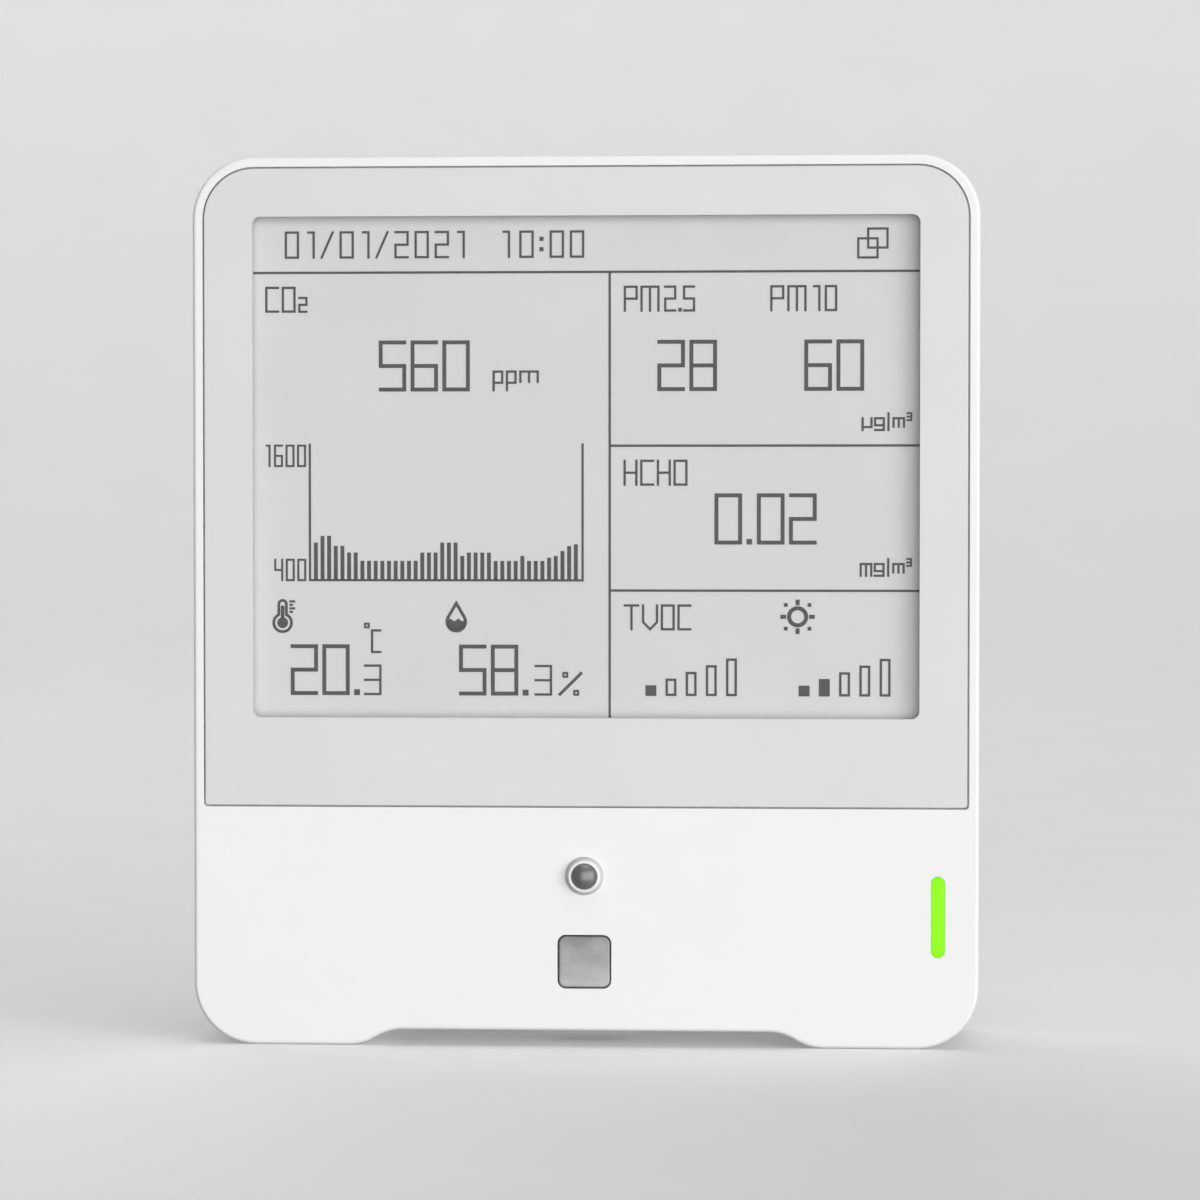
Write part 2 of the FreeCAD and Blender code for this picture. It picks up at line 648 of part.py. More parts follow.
def light_sensor():
    return block(STATUS_X - 1.0, STATUS_X + 1.0, BOARD_FRONT - 0.6, ON_BOARD_FRONT,
                 STATUS_Z - 1.0, STATUS_Z + 1.0)


# ------------------------------------------------------------------ main board and what sits on it
BOARD_INSET = 2.6
BOARD_TOP_Z = 99.5
BAY_CLEARANCE_X = 31.2
BAY_CLEARANCE_Z = 47.4
SOCKET_X = (-3.4, 3.0)
SOCKET_HEIGHT = 3.2
SOCKET_MOUTH = 1.8
BATTERY_SOCKET_Z = (40.0, 44.0)
COUNTER_SOCKET_Z = (29.5, 38.5)
WIRE_DEPTH = ON_BOARD + 1.7             # middle of both sockets' mouths


def main_board():
    """U-shaped board: full width below, with one wing on each side of the battery bay."""
    body = plate(case_outline(BOARD_INSET), BOARD_FRONT, BOARD_BACK)
    front, back = BOARD_FRONT - 1, BOARD_BACK + 1
    cutters = [
        block(-BAY_CLEARANCE_X, BAY_CLEARANCE_X, front, back, BAY_CLEARANCE_Z, CASE_HEIGHT),
        block(-HALF_WIDTH, HALF_WIDTH, front, back, BOARD_TOP_Z, CASE_HEIGHT),
    ]
    cutters += [rod(x, z, CASE_BOSS + 0.5, front, back) for x, z in CASE_SCREWS]
    cutters += [rod(x, z, BOARD_PILOT + 0.25, front, back) for x, z in BOARD_SCREWS]
    return without(body, cutters)


def chip(x, z, width, height, thick):
    return block(x - width / 2, x + width / 2, ON_BOARD, ON_BOARD + thick, z - height / 2, z + height / 2)


def board_components():
    """Processor, memory, regulator, coils and capacitors, each a separate solid on the back of the board."""
    parts = [
        chip(-4.0, 22.0, 7.0, 7.0, 0.9),        # processor
        chip(-6.0, 14.5, 4.0, 5.0, 1.2),        # memory
        chip(1.2, 14.5, 3.0, 3.0, 0.9),         # clock
        chip(40.0, 53.0, 5.0, 4.0, 1.5),        # fan driver
        chip(-39.0, 66.0, 6.0, 6.0, 1.6),       # regulator
        chip(-39.0, 76.0, 4.4, 6.4, 2.6),       # coil
        chip(-39.0, 90.0, 5.0, 5.0, 0.9),       # display driver
    ]
    for i in range(5):
        parts.append(chip(-34.0, 62.0 + i * 4.0, 1.6, 0.9, 0.8))
    for i in range(4):
        parts.append(rod(36.0 + i * 2.6, 57.5, 1.0, ON_BOARD, ON_BOARD + 2.4))
    # Sockets: one for the battery leads, open upwards, and one for the counter's cable, open to the right.
    x0, x1 = SOCKET_X
    for z0, z1, mouth in ((*BATTERY_SOCKET_Z, (-2.7, 2.3, 40.8, 45.0)),
                          (*COUNTER_SOCKET_Z, (-2.0, 4.0, 30.2, 37.8))):
        socket = block(x0, x1, ON_BOARD, ON_BOARD + SOCKET_HEIGHT, z0, z1)
        mouth_x0, mouth_x1, mouth_z0, mouth_z1 = mouth
        hollow = block(mouth_x0, mouth_x1, WIRE_DEPTH - SOCKET_MOUTH / 2, WIRE_DEPTH + SOCKET_MOUTH / 2,
                       mouth_z0, mouth_z1)
        parts.append(socket.cut(hollow))
    return Part.makeCompound(parts)


def usb_socket():
    """Power inlet: an open metal shell with a tongue, facing down into the notch."""
    mouth_z, end_z, skin = NOTCH_RISE + 0.2, NOTCH_RISE + 7.5, 0.3
    shell = upright_oval(USB_HALF_WIDTH, USB_HALF_DEPTH - 0.01, USB_DEPTH, mouth_z, end_z)
    hollow = upright_oval(USB_HALF_WIDTH - skin, USB_HALF_DEPTH - skin, USB_DEPTH, mouth_z - 1, end_z - 1)
    tongue = block(-3.35, 3.35, USB_DEPTH - 0.35, USB_DEPTH + 0.35, mouth_z + 1.0, end_z - 0.5)
    return joined([shell.cut(hollow), tongue])


def radio_module():
    """Small board with a screening can and the aerial socket beside it."""
    return joined([
        block(32.6, 46.4, ON_BOARD, ON_BOARD + 0.8, 64.0, 90.0),
        plate(rounded(33.4, 45.6, 65.0, 84.0, 0.6), ON_BOARD + 0.7, ON_BOARD + 3.0),
        rod(36.0, 87.4, 1.3, ON_BOARD + 0.7, ON_BOARD + 2.0),
    ])


def antenna_strip():
    """Flexible aerial on the inside of the top wall."""
    return block(-26, 34, VENT_FRONT + 0.2, VENT_BACK - 0.2, 111.15, 111.5)


def antenna_cable():
    """Thin coaxial lead from the radio up to the end of the aerial."""
    return lead([(36.0, ON_BOARD + 2.5, 87.4), (36.0, 11.0, 94.0), (35.2, 13.6, 103.0), (33.6, 15.2, 108.4),
                 (32.6, 15.5, 110.5)], 0.4)


def buzzer():
    body = rod(-15, 14, 4.5, ON_BOARD, ON_BOARD + 4.0)
    return body.cut(rod(-15, 14, 1.0, ON_BOARD + 2.5, ON_BOARD + 5))


def voc_sensor():
    body = chip(-23.4, 14.0, 3.0, 3.0, 0.9)
    return body.cut(rod(-23.4, 14.0, 0.7, ON_BOARD + 0.5, ON_BOARD + 2))


def header_pins(x, heights, back):
    """Square pins between the main board and a small board behind it."""
    half = 0.3
    return [block(x - half, x + half, ON_BOARD, back, z - half, z + half) for z in heights]


CO2_BOARD_BACK = 9.3
CO2_CHAMBER_BACK = 16.6
CO2_FILTER_SEAT = 16.1


def co2_board():
    body = block(-44.5, -11.0, CO2_BOARD_BACK - 1.0, CO2_BOARD_BACK, 26.0, 46.0)
    left_pins = header_pins(-42.5, (31.5, 34.0, 36.5, 39.0, 41.5), 8.5)
    right_pins = header_pins(-13.0, (31.0, 36.0, 41.0), 8.5)
    return joined([body] + left_pins + right_pins)


def co2_chamber():
    """Optical chamber with a window for the filter on its back."""
    body = plate(rounded(-42.5, -13.0, 28.0, 44.0, 2.5), CO2_BOARD_BACK + TOUCH, CO2_CHAMBER_BACK)
    body = rounded_edges(body, 0.8, lambda b: b.YMin > y_at(CO2_CHAMBER_BACK) - TINY)
    return body.cut(plate(rounded(-38.2, -17.8, 31.3, 40.7, 1.2), CO2_FILTER_SEAT, CO2_CHAMBER_BACK + 1))


def co2_filter():
    return plate(rounded(-38.0, -18.0, 31.5, 40.5, 1.0), CO2_FILTER_SEAT + TOUCH, CO2_CHAMBER_BACK + 0.3)


CELL_X = -34.0
CELL_Z = 15.0
CELL_FRONT = 8.2
CELL_BACK = 15.0
CELL_FILTER_SEAT = 14.5


def formaldehyde_cell():
    """Round gas cell on three pins, with a seat for the filter disc."""
    body = rod(CELL_X, CELL_Z, 7.0, CELL_FRONT, CELL_BACK)
    body = rounded_edges(body, 0.6, lambda b: b.YMin > y_at(CELL_BACK) - TINY)
    body = body.cut(rod(CELL_X, CELL_Z, 5.1, CELL_FILTER_SEAT, CELL_BACK + 1))
    pins = [rod(CELL_X + 4 * math.cos(a), CELL_Z + 4 * math.sin(a), 0.5, ON_BOARD, CELL_FRONT + 0.2)
            for a in (math.radians(90 + 120 * i) for i in range(3))]
    return joined([body] + pins)


def formaldehyde_filter():
    return rod(CELL_X, CELL_Z, 5.0, CELL_FILTER_SEAT + TOUCH, CELL_BACK - 0.1)


CLIMATE_BOARD_BACK = 8.8


def climate_board():
    body = block(-46.8, -38.0, CLIMATE_BOARD_BACK - 0.8, CLIMATE_BOARD_BACK, 49.0, 58.5)
    return joined([body] + header_pins(-39.2, (50.5, 53.0, 55.5), 8.2))


def climate_sensor():
    x, z, half = -44.35, 53.75, 1.25
    front = CLIMATE_BOARD_BACK + TOUCH
    body = block(x - half, x + half, front, front + 0.9, z - half, z + half)
    return body.cut(rod(x, z, 0.6, front + 0.48, front + 2))


# ------------------------------------------------------------------ particle counter
COUNTER_FLOOR = COUNTER_FRONT + 1.0
COUNTER_LID_FRONT = 17.4
FAN_WELL = 9.4
FAN_RADIUS = 8.4
SHAFT_RADIUS = 1.0
DUCTS = ((16.2, 21.8), (25.2, 36.0))    # heights of the inlet and of the outlet


def particle_housing():
    """Open tray with a round fan well, two ports in its right wall and a fence round the light path."""
    x0, x1 = COUNTER_X
    z0, z1 = COUNTER_Z
    wall, floor = 1.0, COUNTER_FLOOR
    body = plate(rounded(x0, x1, z0, z1, 1.5), COUNTER_FRONT, COUNTER_LID_FRONT - 0.05)
    body = body.cut(plate(rounded(x0 + wall, x1 - wall, z0 + wall, z1 - wall, 0.8), floor, COUNTER_BACK))
    well = rod(FAN_X, FAN_Z, FAN_WELL + 0.8, floor - 0.5, 15.5).cut(rod(FAN_X, FAN_Z, FAN_WELL, floor, 17))
    fence = block(21.2, 22.0, floor - 0.5, 14.5, z0 + 0.5, 22.0)
    body = joined([body, well, fence])
    ports = [block(FAN_X + 6, x1 + 1, 9.0, 15.0, low, high) for low, high in DUCTS]
    return without(body, ports)


def particle_lid():
    """Cover with a ring of air slots over the fan."""
    body = plate(rounded(COUNTER_X[0], COUNTER_X[1], COUNTER_Z[0], COUNTER_Z[1], 1.5),
                 COUNTER_LID_FRONT, COUNTER_BACK)
    holes = []
    for i in range(12):
        a = math.radians(30 * i)
        holes.append(rod(FAN_X + 6.2 * math.cos(a), FAN_Z + 6.2 * math.sin(a), 1.1,
                         COUNTER_LID_FRONT - 1, COUNTER_BACK + 1))
    return without(body, holes)


def particle_fan_motor():
    """Base, windings and bearing tube, bonded to the floor of the tray."""
    base = rod(FAN_X, FAN_Z, 5.8, COUNTER_FLOOR + TOUCH, 8.3)
    windings = rod(FAN_X, FAN_Z, 3.5, 8.2, 12.4)
    tube = rod(FAN_X, FAN_Z, 1.8, 8.2, 12.8)
    body = joined([base, windings, tube])
    return body.cut(rod(FAN_X, FAN_Z, SHAFT_RADIUS + 0.05, 8.0, 14))


def particle_fan_rotor():
    """Cup with a shaft in the bearing tube and seven tilted blades."""
    hub, cup_inner, blade_count, tilt = 4.6, 4.0, 7, 32
    cup = rod(FAN_X, FAN_Z, hub, 9.2, 14.4).cut(rod(FAN_X, FAN_Z, cup_inner, 9, 13.2))
    shaft = rod(FAN_X, FAN_Z, SHAFT_RADIUS, 8.4, 13.5)
    blades = []
    for i in range(blade_count):
        blade = Part.makeBox(FAN_RADIUS - 4.3, 4.4, 0.6, V(4.3, -2.2, -0.3))
        blade.rotate(V(0, 0, 0), V(1, 0, 0), tilt)
        blade.rotate(V(0, 0, 0), V(0, 1, 0), 360 / blade_count * i)
        blade.translate(V(FAN_X, y_at(11.9), FAN_Z))
        blades.append(blade)
    return joined([cup, shaft] + blades)


def particle_laser():
    """Laser block with its lens barrel, aimed along the light path."""
    block_part = block(8.0, 15.0, 8.0, 14.0, 14.2, 22.0)
    barrel = Part.makeCylinder(2.2, 6.0, V(11.5, y_at(11.0), 21.5))
    return joined([block_part, barrel])


def particle_detector():
    """Light detector on its own small board, across the light path."""
    return joined([
        block(7.5, 20.5, 7.45, 8.2, 32.0, 45.0),
        block(10.0, 15.0, 8.1, 9.6, 34.5, 39.5),
        block(9.0, 18.0, 8.1, 9.2, 41.0, 44.0),
    ])


def particle_cable():
    """Five wires from the counter's left side to the socket on the main board."""
    wires = []
    for i in range(5):
        z = 31.0 + 1.5 * i
        path = [(5.1, 10.2, z), (3.9, 9.6, z), (3.3, 8.4, z), (2.2, WIRE_DEPTH, z), (-1.6, WIRE_DEPTH, z)]
        wires.append(lead(path, 0.4))
    return Part.makeCompound(wires)


def particle_duct_seal():
    """Foam block that leads the counter's two ports to the vents in the side wall."""
    body = block(COUNTER_X[1] + 0.1, HALF_WIDTH - WALL - 0.1, VENT_FRONT - 0.2, VENT_BACK, 14.4, 46.4)
    channels = [block(COUNTER_X[1] - 1, HALF_WIDTH, VENT_FRONT + 0.5, VENT_BACK - 0.7, low, high)
                for low, high in DUCTS]
    return without(body, channels)


# ------------------------------------------------------------------ power
NUB_LENGTH = 1.3


def cell_direction(i):
    """The cells lie head to tail: +1 where the positive end is on the right."""
    return 1 if i % 2 == 0 else -1


def battery_cells():
    cells = []
    for i in range(CELL_COUNT):
        z = CELL_FIRST_Z + i * CELL_PITCH
        way = cell_direction(i)
        start = V(-way * CELL_LENGTH / 2, y_at(CELL_DEPTH), z)
        can = Part.makeCylinder(CELL_RADIUS, CELL_LENGTH - NUB_LENGTH, start, V(way, 0, 0))
        can = can.makeFillet(0.6, [e for e in can.Edges if e.BoundBox.XLength < TINY])
        nub = Part.makeCylinder(2.7, CELL_LENGTH, start, V(way, 0, 0))
        cells.append(joined([can, nub]))
    return Part.makeCompound(cells)


def battery_springs():
    """Coil springs between the negative ends and the contact plates."""
    wire, radius, pitch, turns, steps = 0.28, 3.2, 0.8, 2, 12
    springs = []
    for i in range(CELL_COUNT):
        way = cell_direction(i)
        cell_z = CELL_FIRST_Z + i * CELL_PITCH
        path = []
        for k in range(turns * steps + 1):
            angle = 2 * math.pi * k / steps
            x = -way * (CELL_LENGTH / 2 + wire + 0.05 + pitch * k / steps)
            path.append((x, CELL_DEPTH + radius * math.cos(angle), cell_z + radius * math.sin(angle)))
        springs.append(lead(path, wire))
    return Part.makeCompound(springs)


def battery_plates():
    """Contact plates on the bay's end walls, with a stud where the positive end rests."""
    plates = []
    thick = 0.35
    for i in range(CELL_COUNT):
        z = CELL_FIRST_Z + i * CELL_PITCH
        for side in (-1, 1):
            outer = side * (BAY_HALF_WIDTH - TOUCH)
            inner = side * (BAY_HALF_WIDTH - TOUCH - thick)
            sheet = block(min(outer, inner), max(outer, inner), 8.5, 17.6, z - 5, z + 5)
            if side == cell_direction(i):
                end = side * (CELL_LENGTH / 2 + TOUCH)
                stud = Part.makeCylinder(1.8, abs(outer - end), V(end, y_at(CELL_DEPTH), z), V(side, 0, 0))
                sheet = joined([sheet, stud])
            plates.append(sheet)
    return Part.makeCompound(plates)


def battery_leads():
    """Two wires from the foot of the battery bay down into their socket on the main board."""
    wires = []
    for x in (-1.4, 1.0):
        path = [(x, 12.0, 48.0), (x, 10.6, 46.4), (x, 8.6, 45.3), (x, WIRE_DEPTH, 43.8), (x, WIRE_DEPTH, 42.0)]
        wires.append(lead(path, 0.45))
    return Part.makeCompound(wires)


# ------------------------------------------------------------------ fasteners
def case_screws():
    return Part.makeCompound([screw(x, z, SCREW_SEAT + TOUCH, 1.1, 7.4, 2.0, 1.5) for x, z in CASE_SCREWS])


def board_screws():
    return Part.makeCompound([screw(x, z, ON_BOARD, 0.85, 3.9, 1.7, 1.3) for x, z in BOARD_SCREWS])


def frame_screws():
    seat = FRAME_TAB_FRONT + FRAME_TAB_THICK + TOUCH
    return Part.makeCompound([screw(x, z, seat, 0.63, 2.3, 1.4, 0.8) for x, z in FRAME_SCREWS])


# ------------------------------------------------------------------ one file per piece
PIECES = (
    front_shell, rear_shell, wall_bracket, display_panel, display_window, epaper_display, display_cushion,
    display_frame, display_cable, display_connector, sensor_collar, motion_lens, motion_sensor, button_cap,
    switch_plunger, switch_body, status_light_guide, status_leds, light_sensor, main_board, board_components,
    usb_socket, radio_module, antenna_strip, antenna_cable, buzzer, voc_sensor, co2_board, co2_chamber,
    co2_filter, formaldehyde_cell, formaldehyde_filter, climate_board, climate_sensor, particle_housing,
    particle_lid, particle_fan_motor, particle_fan_rotor, particle_laser, particle_detector, particle_cable,
    particle_duct_seal, battery_cells, battery_springs, battery_plates, battery_leads, case_screws,
    board_screws, frame_screws,
)

os.makedirs("parts", exist_ok=True)
for make_piece in PIECES:
    make_piece().exportStep("parts/" + make_piece.__name__ + ".step")
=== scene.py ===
import json
import math
from collections import namedtuple

import bmesh
import bpy
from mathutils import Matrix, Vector


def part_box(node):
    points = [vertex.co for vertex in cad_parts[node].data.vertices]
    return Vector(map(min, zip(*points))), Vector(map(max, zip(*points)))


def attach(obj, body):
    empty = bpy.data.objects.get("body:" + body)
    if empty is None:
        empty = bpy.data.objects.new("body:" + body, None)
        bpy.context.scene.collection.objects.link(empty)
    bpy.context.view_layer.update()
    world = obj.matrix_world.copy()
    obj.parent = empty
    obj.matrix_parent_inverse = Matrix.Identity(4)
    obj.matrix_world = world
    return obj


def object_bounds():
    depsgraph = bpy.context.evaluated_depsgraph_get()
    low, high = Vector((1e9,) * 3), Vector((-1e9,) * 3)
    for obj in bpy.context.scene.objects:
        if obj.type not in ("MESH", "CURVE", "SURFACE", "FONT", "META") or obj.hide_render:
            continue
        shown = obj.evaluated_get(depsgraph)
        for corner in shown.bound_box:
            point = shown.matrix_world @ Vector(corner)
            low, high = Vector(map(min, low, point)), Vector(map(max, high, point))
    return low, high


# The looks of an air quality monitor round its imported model. All lengths are in metres.
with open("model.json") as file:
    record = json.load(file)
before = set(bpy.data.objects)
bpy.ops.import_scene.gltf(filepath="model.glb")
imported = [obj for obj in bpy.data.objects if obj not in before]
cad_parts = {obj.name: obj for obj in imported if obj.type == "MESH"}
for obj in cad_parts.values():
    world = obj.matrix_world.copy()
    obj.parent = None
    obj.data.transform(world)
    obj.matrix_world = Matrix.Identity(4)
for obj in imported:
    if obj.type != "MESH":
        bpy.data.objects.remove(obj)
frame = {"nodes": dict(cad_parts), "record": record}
cad_low, cad_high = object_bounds()

MM = 0.001
FRONT_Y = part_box("display_panel")[0].y
MIDDLE_Z = (cad_low.z + cad_high.z) / 2

# ------------------------------------------------------------------ the display's own grid of dots
WINDOW_OVERLAP = 1.4 * MM       # the clear sheet reaches this far behind the panel on every side
DOTS_ACROSS = 400
window_low, window_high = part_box("display_window")
SCREEN_LEFT = window_low.x + WINDOW_OVERLAP
SCREEN_TOP = window_high.z - WINDOW_OVERLAP
DOT = (window_high.x - window_low.x - 2 * WINDOW_OVERLAP) / DOTS_ACROSS
SCREEN_ROWS = (window_high.z - window_low.z - 2 * WINDOW_OVERLAP) / DOT
INK_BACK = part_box("epaper_display")[0].y - 0.004 * MM
INK_FRONT = INK_BACK - 0.03 * MM
INK_SPREAD = 0.28               # a drawn stroke comes out this much wider than asked for, in dots


# ------------------------------------------------------------------ finishes
class Finish:
    """A material being made. Every pattern is placed by object coordinates, which are metres."""

    def __init__(self, name):
        self.material = bpy.data.materials.new("finish_" + name)
        self.material.use_nodes = True
        self.tree = self.material.node_tree
        self.shader = self.tree.nodes["Principled BSDF"]
        self.place = self.add("ShaderNodeTexCoord").outputs["Object"]

    def add(self, kind, **settings):
        node = self.tree.nodes.new(kind)
        for name, value in settings.items():
            setattr(node, name, value)
        return node

    def put(self, socket, value):
        """Links an output to this socket, or sets the socket to a plain value."""
        if isinstance(value, bpy.types.NodeSocket):
            self.tree.links.new(value, socket)
        elif isinstance(value, (tuple, list)) and len(value) == 3 and socket.type == "RGBA":
            socket.default_value = (*value, 1.0)
        else:
            socket.default_value = value

    def set(self, **values):
        """Inputs of the main shader, with underscores for the spaces in their names."""
        for name, value in values.items():
            self.put(self.shader.inputs[name.replace("_", " ")], value)

    def noise(self, size, detail=2.0, stretch=(1.0, 1.0, 1.0)):
        """Soft noise from 0 to 1, about this size. A stretch below 1 draws it out along that axis."""
        mapping = self.add("ShaderNodeMapping")
        self.put(mapping.inputs["Vector"], self.place)
        self.put(mapping.inputs["Scale"], stretch)
        node = self.add("ShaderNodeTexNoise")
        self.put(node.inputs["Vector"], mapping.outputs["Vector"])
        self.put(node.inputs["Scale"], 1 / size)
        self.put(node.inputs["Detail"], detail)
        return node.outputs["Fac"]

    def cells(self, size):
        """Distance from the middle of the nearest cell, in a pattern of cells about this size."""
        node = self.add("ShaderNodeTexVoronoi")
        self.put(node.inputs["Vector"], self.place)
        self.put(node.inputs["Scale"], 1 / size)
        return node.outputs["Distance"]

    def axis(self, name):
        node = self.add("ShaderNodeSeparateXYZ")
        self.put(node.inputs["Vector"], self.place)
        return node.outputs[name]

    def math(self, operation, first, second=0.0):
        node = self.add("ShaderNodeMath", operation=operation)
        self.put(node.inputs[0], first)
        self.put(node.inputs[1], second)
        return node.outputs["Value"]

    def scaled(self, value, low, high, from_low=0.3, from_high=0.7):
        """The value moved from one range to another. Noise seldom leaves its default range."""
        node = self.add("ShaderNodeMapRange")
        self.put(node.inputs["Value"], value)
        self.put(node.inputs["From Min"], from_low)
        self.put(node.inputs["From Max"], from_high)
        self.put(node.inputs["To Min"], low)
        self.put(node.inputs["To Max"], high)
        return node.outputs["Result"]

    def mixed(self, share, first, second):
        """Colour between two colours."""
        node = self.add("ShaderNodeMix", data_type="RGBA")
        colours = [socket for socket in node.inputs if socket.type == "RGBA"]
        self.put(node.inputs["Factor"], share)
        self.put(colours[0], first)
        self.put(colours[1], second)
        return next(socket for socket in node.outputs if socket.type == "RGBA")

    def soft_edges(self, radius):
        """Normal that rounds every edge by a hair, as on any moulded or stamped part."""
        node = self.add("ShaderNodeBevel", samples=4)
        self.put(node.inputs["Radius"], radius)
        return node.outputs["Normal"]

    def edge_mask(self, rounded):
        """0 on open faces, rising to 1 on the rounded edges."""
        true_normal = self.add("ShaderNodeNewGeometry").outputs["Normal"]
        node = self.add("ShaderNodeVectorMath", operation="DOT_PRODUCT")
        self.put(node.inputs[0], rounded)
        self.put(node.inputs[1], true_normal)
        return self.scaled(node.outputs["Value"], 1.0, 0.0, 0.75, 0.99)

    def bump(self, height, depth, normal):
        node = self.add("ShaderNodeBump")
        self.put(node.inputs["Height"], height)
        self.put(node.inputs["Distance"], depth)
        self.put(node.inputs["Normal"], normal)
        return node.outputs["Normal"]


def shade(colour, factor):
    return tuple(min(1.0, part * factor) for part in colour)


def moulded(name, colour, roughness, grain=0.22 * MM, relief=0.010 * MM, tint=0.03, edge=0.12 * MM):
    """Moulded plastic: faint clouds of tint, uneven gloss, fine spark texture and handled edges."""
    finish = Finish(name)
    clouds = finish.noise(14 * MM, detail=4.0)
    base = finish.mixed(finish.scaled(clouds, 0.0, 1.0), shade(colour, 1 - tint), shade(colour, 1 + tint))
    rounded = finish.soft_edges(edge)
    mask = finish.edge_mask(rounded)
    finish.set(Base_Color=finish.mixed(finish.math("MULTIPLY", mask, 0.5), base, shade(colour, 1.04)))
    smears = finish.scaled(finish.noise(5 * MM, detail=5.0), roughness - 0.05, roughness + 0.05)
    finish.set(Roughness=finish.math("SUBTRACT", smears, finish.math("MULTIPLY", mask, 0.08)))
    finish.set(Normal=finish.bump(finish.noise(grain), relief, rounded))
    return finish


def metal(name, colour, roughness):
    """Plated or rolled metal: drawn-out scratches, faint stains and bright edges."""
    scratch, relief, drawn_out = 0.06 * MM, 0.002 * MM, (1.0, 1.0, 0.04)
    finish = Finish(name)
    lines = finish.noise(scratch, detail=3.0, stretch=drawn_out)
    stains = finish.noise(2.5 * MM, detail=4.0)
    rounded = finish.soft_edges(0.08 * MM)
    mask = finish.edge_mask(rounded)
    stained = finish.mixed(finish.scaled(stains, 0.0, 1.0), shade(colour, 0.86), shade(colour, 1.05))
    finish.set(Base_Color=finish.mixed(finish.math("MULTIPLY", mask, 0.6), stained, shade(colour, 1.2)))
    finish.set(Metallic=1.0, Roughness=finish.scaled(lines, roughness - 0.08, roughness + 0.10))
    finish.set(Normal=finish.bump(lines, relief, rounded))
    return finish


WHITE = (0.835, 0.835, 0.832)
WHITE_ROUGHNESS = 0.46
WHITE_TINT = 0.008


def collar_white_painted_shade():
    """The collar's white, with painted shade: it darkens down its slope to the line where it meets the
    casing.
    """
    finish = moulded("collar_white_painted_shade", WHITE, WHITE_ROUGHNESS, tint=WHITE_TINT)
    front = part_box("sensor_collar")[0].y
    painted_shade_starts, painted_shade_ends = front + 0.06 * MM, front + 0.36 * MM
    depth = finish.scaled(finish.axis("Y"), 0.0, 1.0, painted_shade_starts, painted_shade_ends)
    white = finish.shader.inputs["Base Color"].links[0].from_socket
    # Painted shade: towards the foot of the slope the white darkens to 0.64 of itself, standing in for the
    # shade where the collar meets the casing.
    finish.set(Base_Color=finish.mixed(depth, white, shade(WHITE, 0.64)))
    return finish


def panel_sheet():
    """The smooth grey front panel, with a half-gloss hard coat."""
    finish = moulded("panel_grey", (0.665, 0.665, 0.665), 0.42, relief=0.004 * MM, tint=0.012, edge=0.10 * MM)
    finish.set(Coat_Weight=0.15, Coat_Roughness=0.3)
    return finish


def clear_sheet():
    """Clear window: it mirrors a little, more at a glancing angle, and lets the rest through."""
    light, dark = (0.995, 0.995, 0.995), (0.985, 0.985, 0.985)
    finish = Finish("clear_window")
    shine = finish.add("ShaderNodeBsdfGlossy")
    haze = finish.scaled(finish.noise(9 * MM, detail=5.0), 0.03, 0.09)
    finish.put(shine.inputs["Roughness"], haze)
    through = finish.add("ShaderNodeBsdfTransparent")
    tint = finish.mixed(finish.scaled(finish.noise(20 * MM), 0.0, 1.0), dark, light)
    finish.put(through.inputs["Color"], tint)
    mirror = finish.add("ShaderNodeFresnel")
    finish.put(mirror.inputs["IOR"], 1.35)
    # Only where a ray enters the sheet: the rays aren't bent, so the inner face would mirror far too much.
    entering = finish.math("SUBTRACT", 1.0, finish.add("ShaderNodeNewGeometry").outputs["Backfacing"])
    both = finish.add("ShaderNodeMixShader")
    finish.put(both.inputs["Fac"], finish.math("MULTIPLY", mirror.outputs["Fac"], entering))
    finish.put(both.inputs[1], through.outputs["BSDF"])
    finish.put(both.inputs[2], shine.outputs["BSDF"])
    output = finish.tree.nodes["Material Output"]
    finish.put(output.inputs["Surface"], both.outputs["Shader"])
    return finish


def paper_screen():
    """Electronic paper: a grey of fine capsules, a little uneven, behind a matt film."""
    finish = Finish("display_glass")
    capsules = finish.scaled(finish.cells(0.11 * MM), 0.0, 1.0, 0.1, 0.8)
    clouds = finish.scaled(finish.noise(11 * MM, detail=4.0), -0.012, 0.012)
    light, dark = (0.642, 0.642, 0.642), (0.624, 0.624, 0.624)
    share = finish.math("ADD", finish.math("MULTIPLY", capsules, 0.6), finish.math("MULTIPLY", clouds, 6.0))
    finish.set(Base_Color=finish.mixed(share, light, dark))
    finish.set(Roughness=finish.scaled(finish.noise(3 * MM), 0.50, 0.60))
    finish.set(Normal=finish.bump(capsules, 0.0008 * MM, finish.soft_edges(0.05 * MM)))
    return finish


def ink():
    """The display's dark dots: charcoal, with pale specks where capsules haven't fully turned."""
    finish = Finish("display_ink")
    specks = finish.scaled(finish.noise(0.09 * MM, detail=1.0), 0.0, 1.0, 0.45, 0.8)
    finish.set(Base_Color=finish.mixed(specks, (0.036, 0.036, 0.037), (0.062, 0.062, 0.064)))
    finish.set(Roughness=finish.scaled(finish.noise(1 * MM), 0.50, 0.62))
    return finish


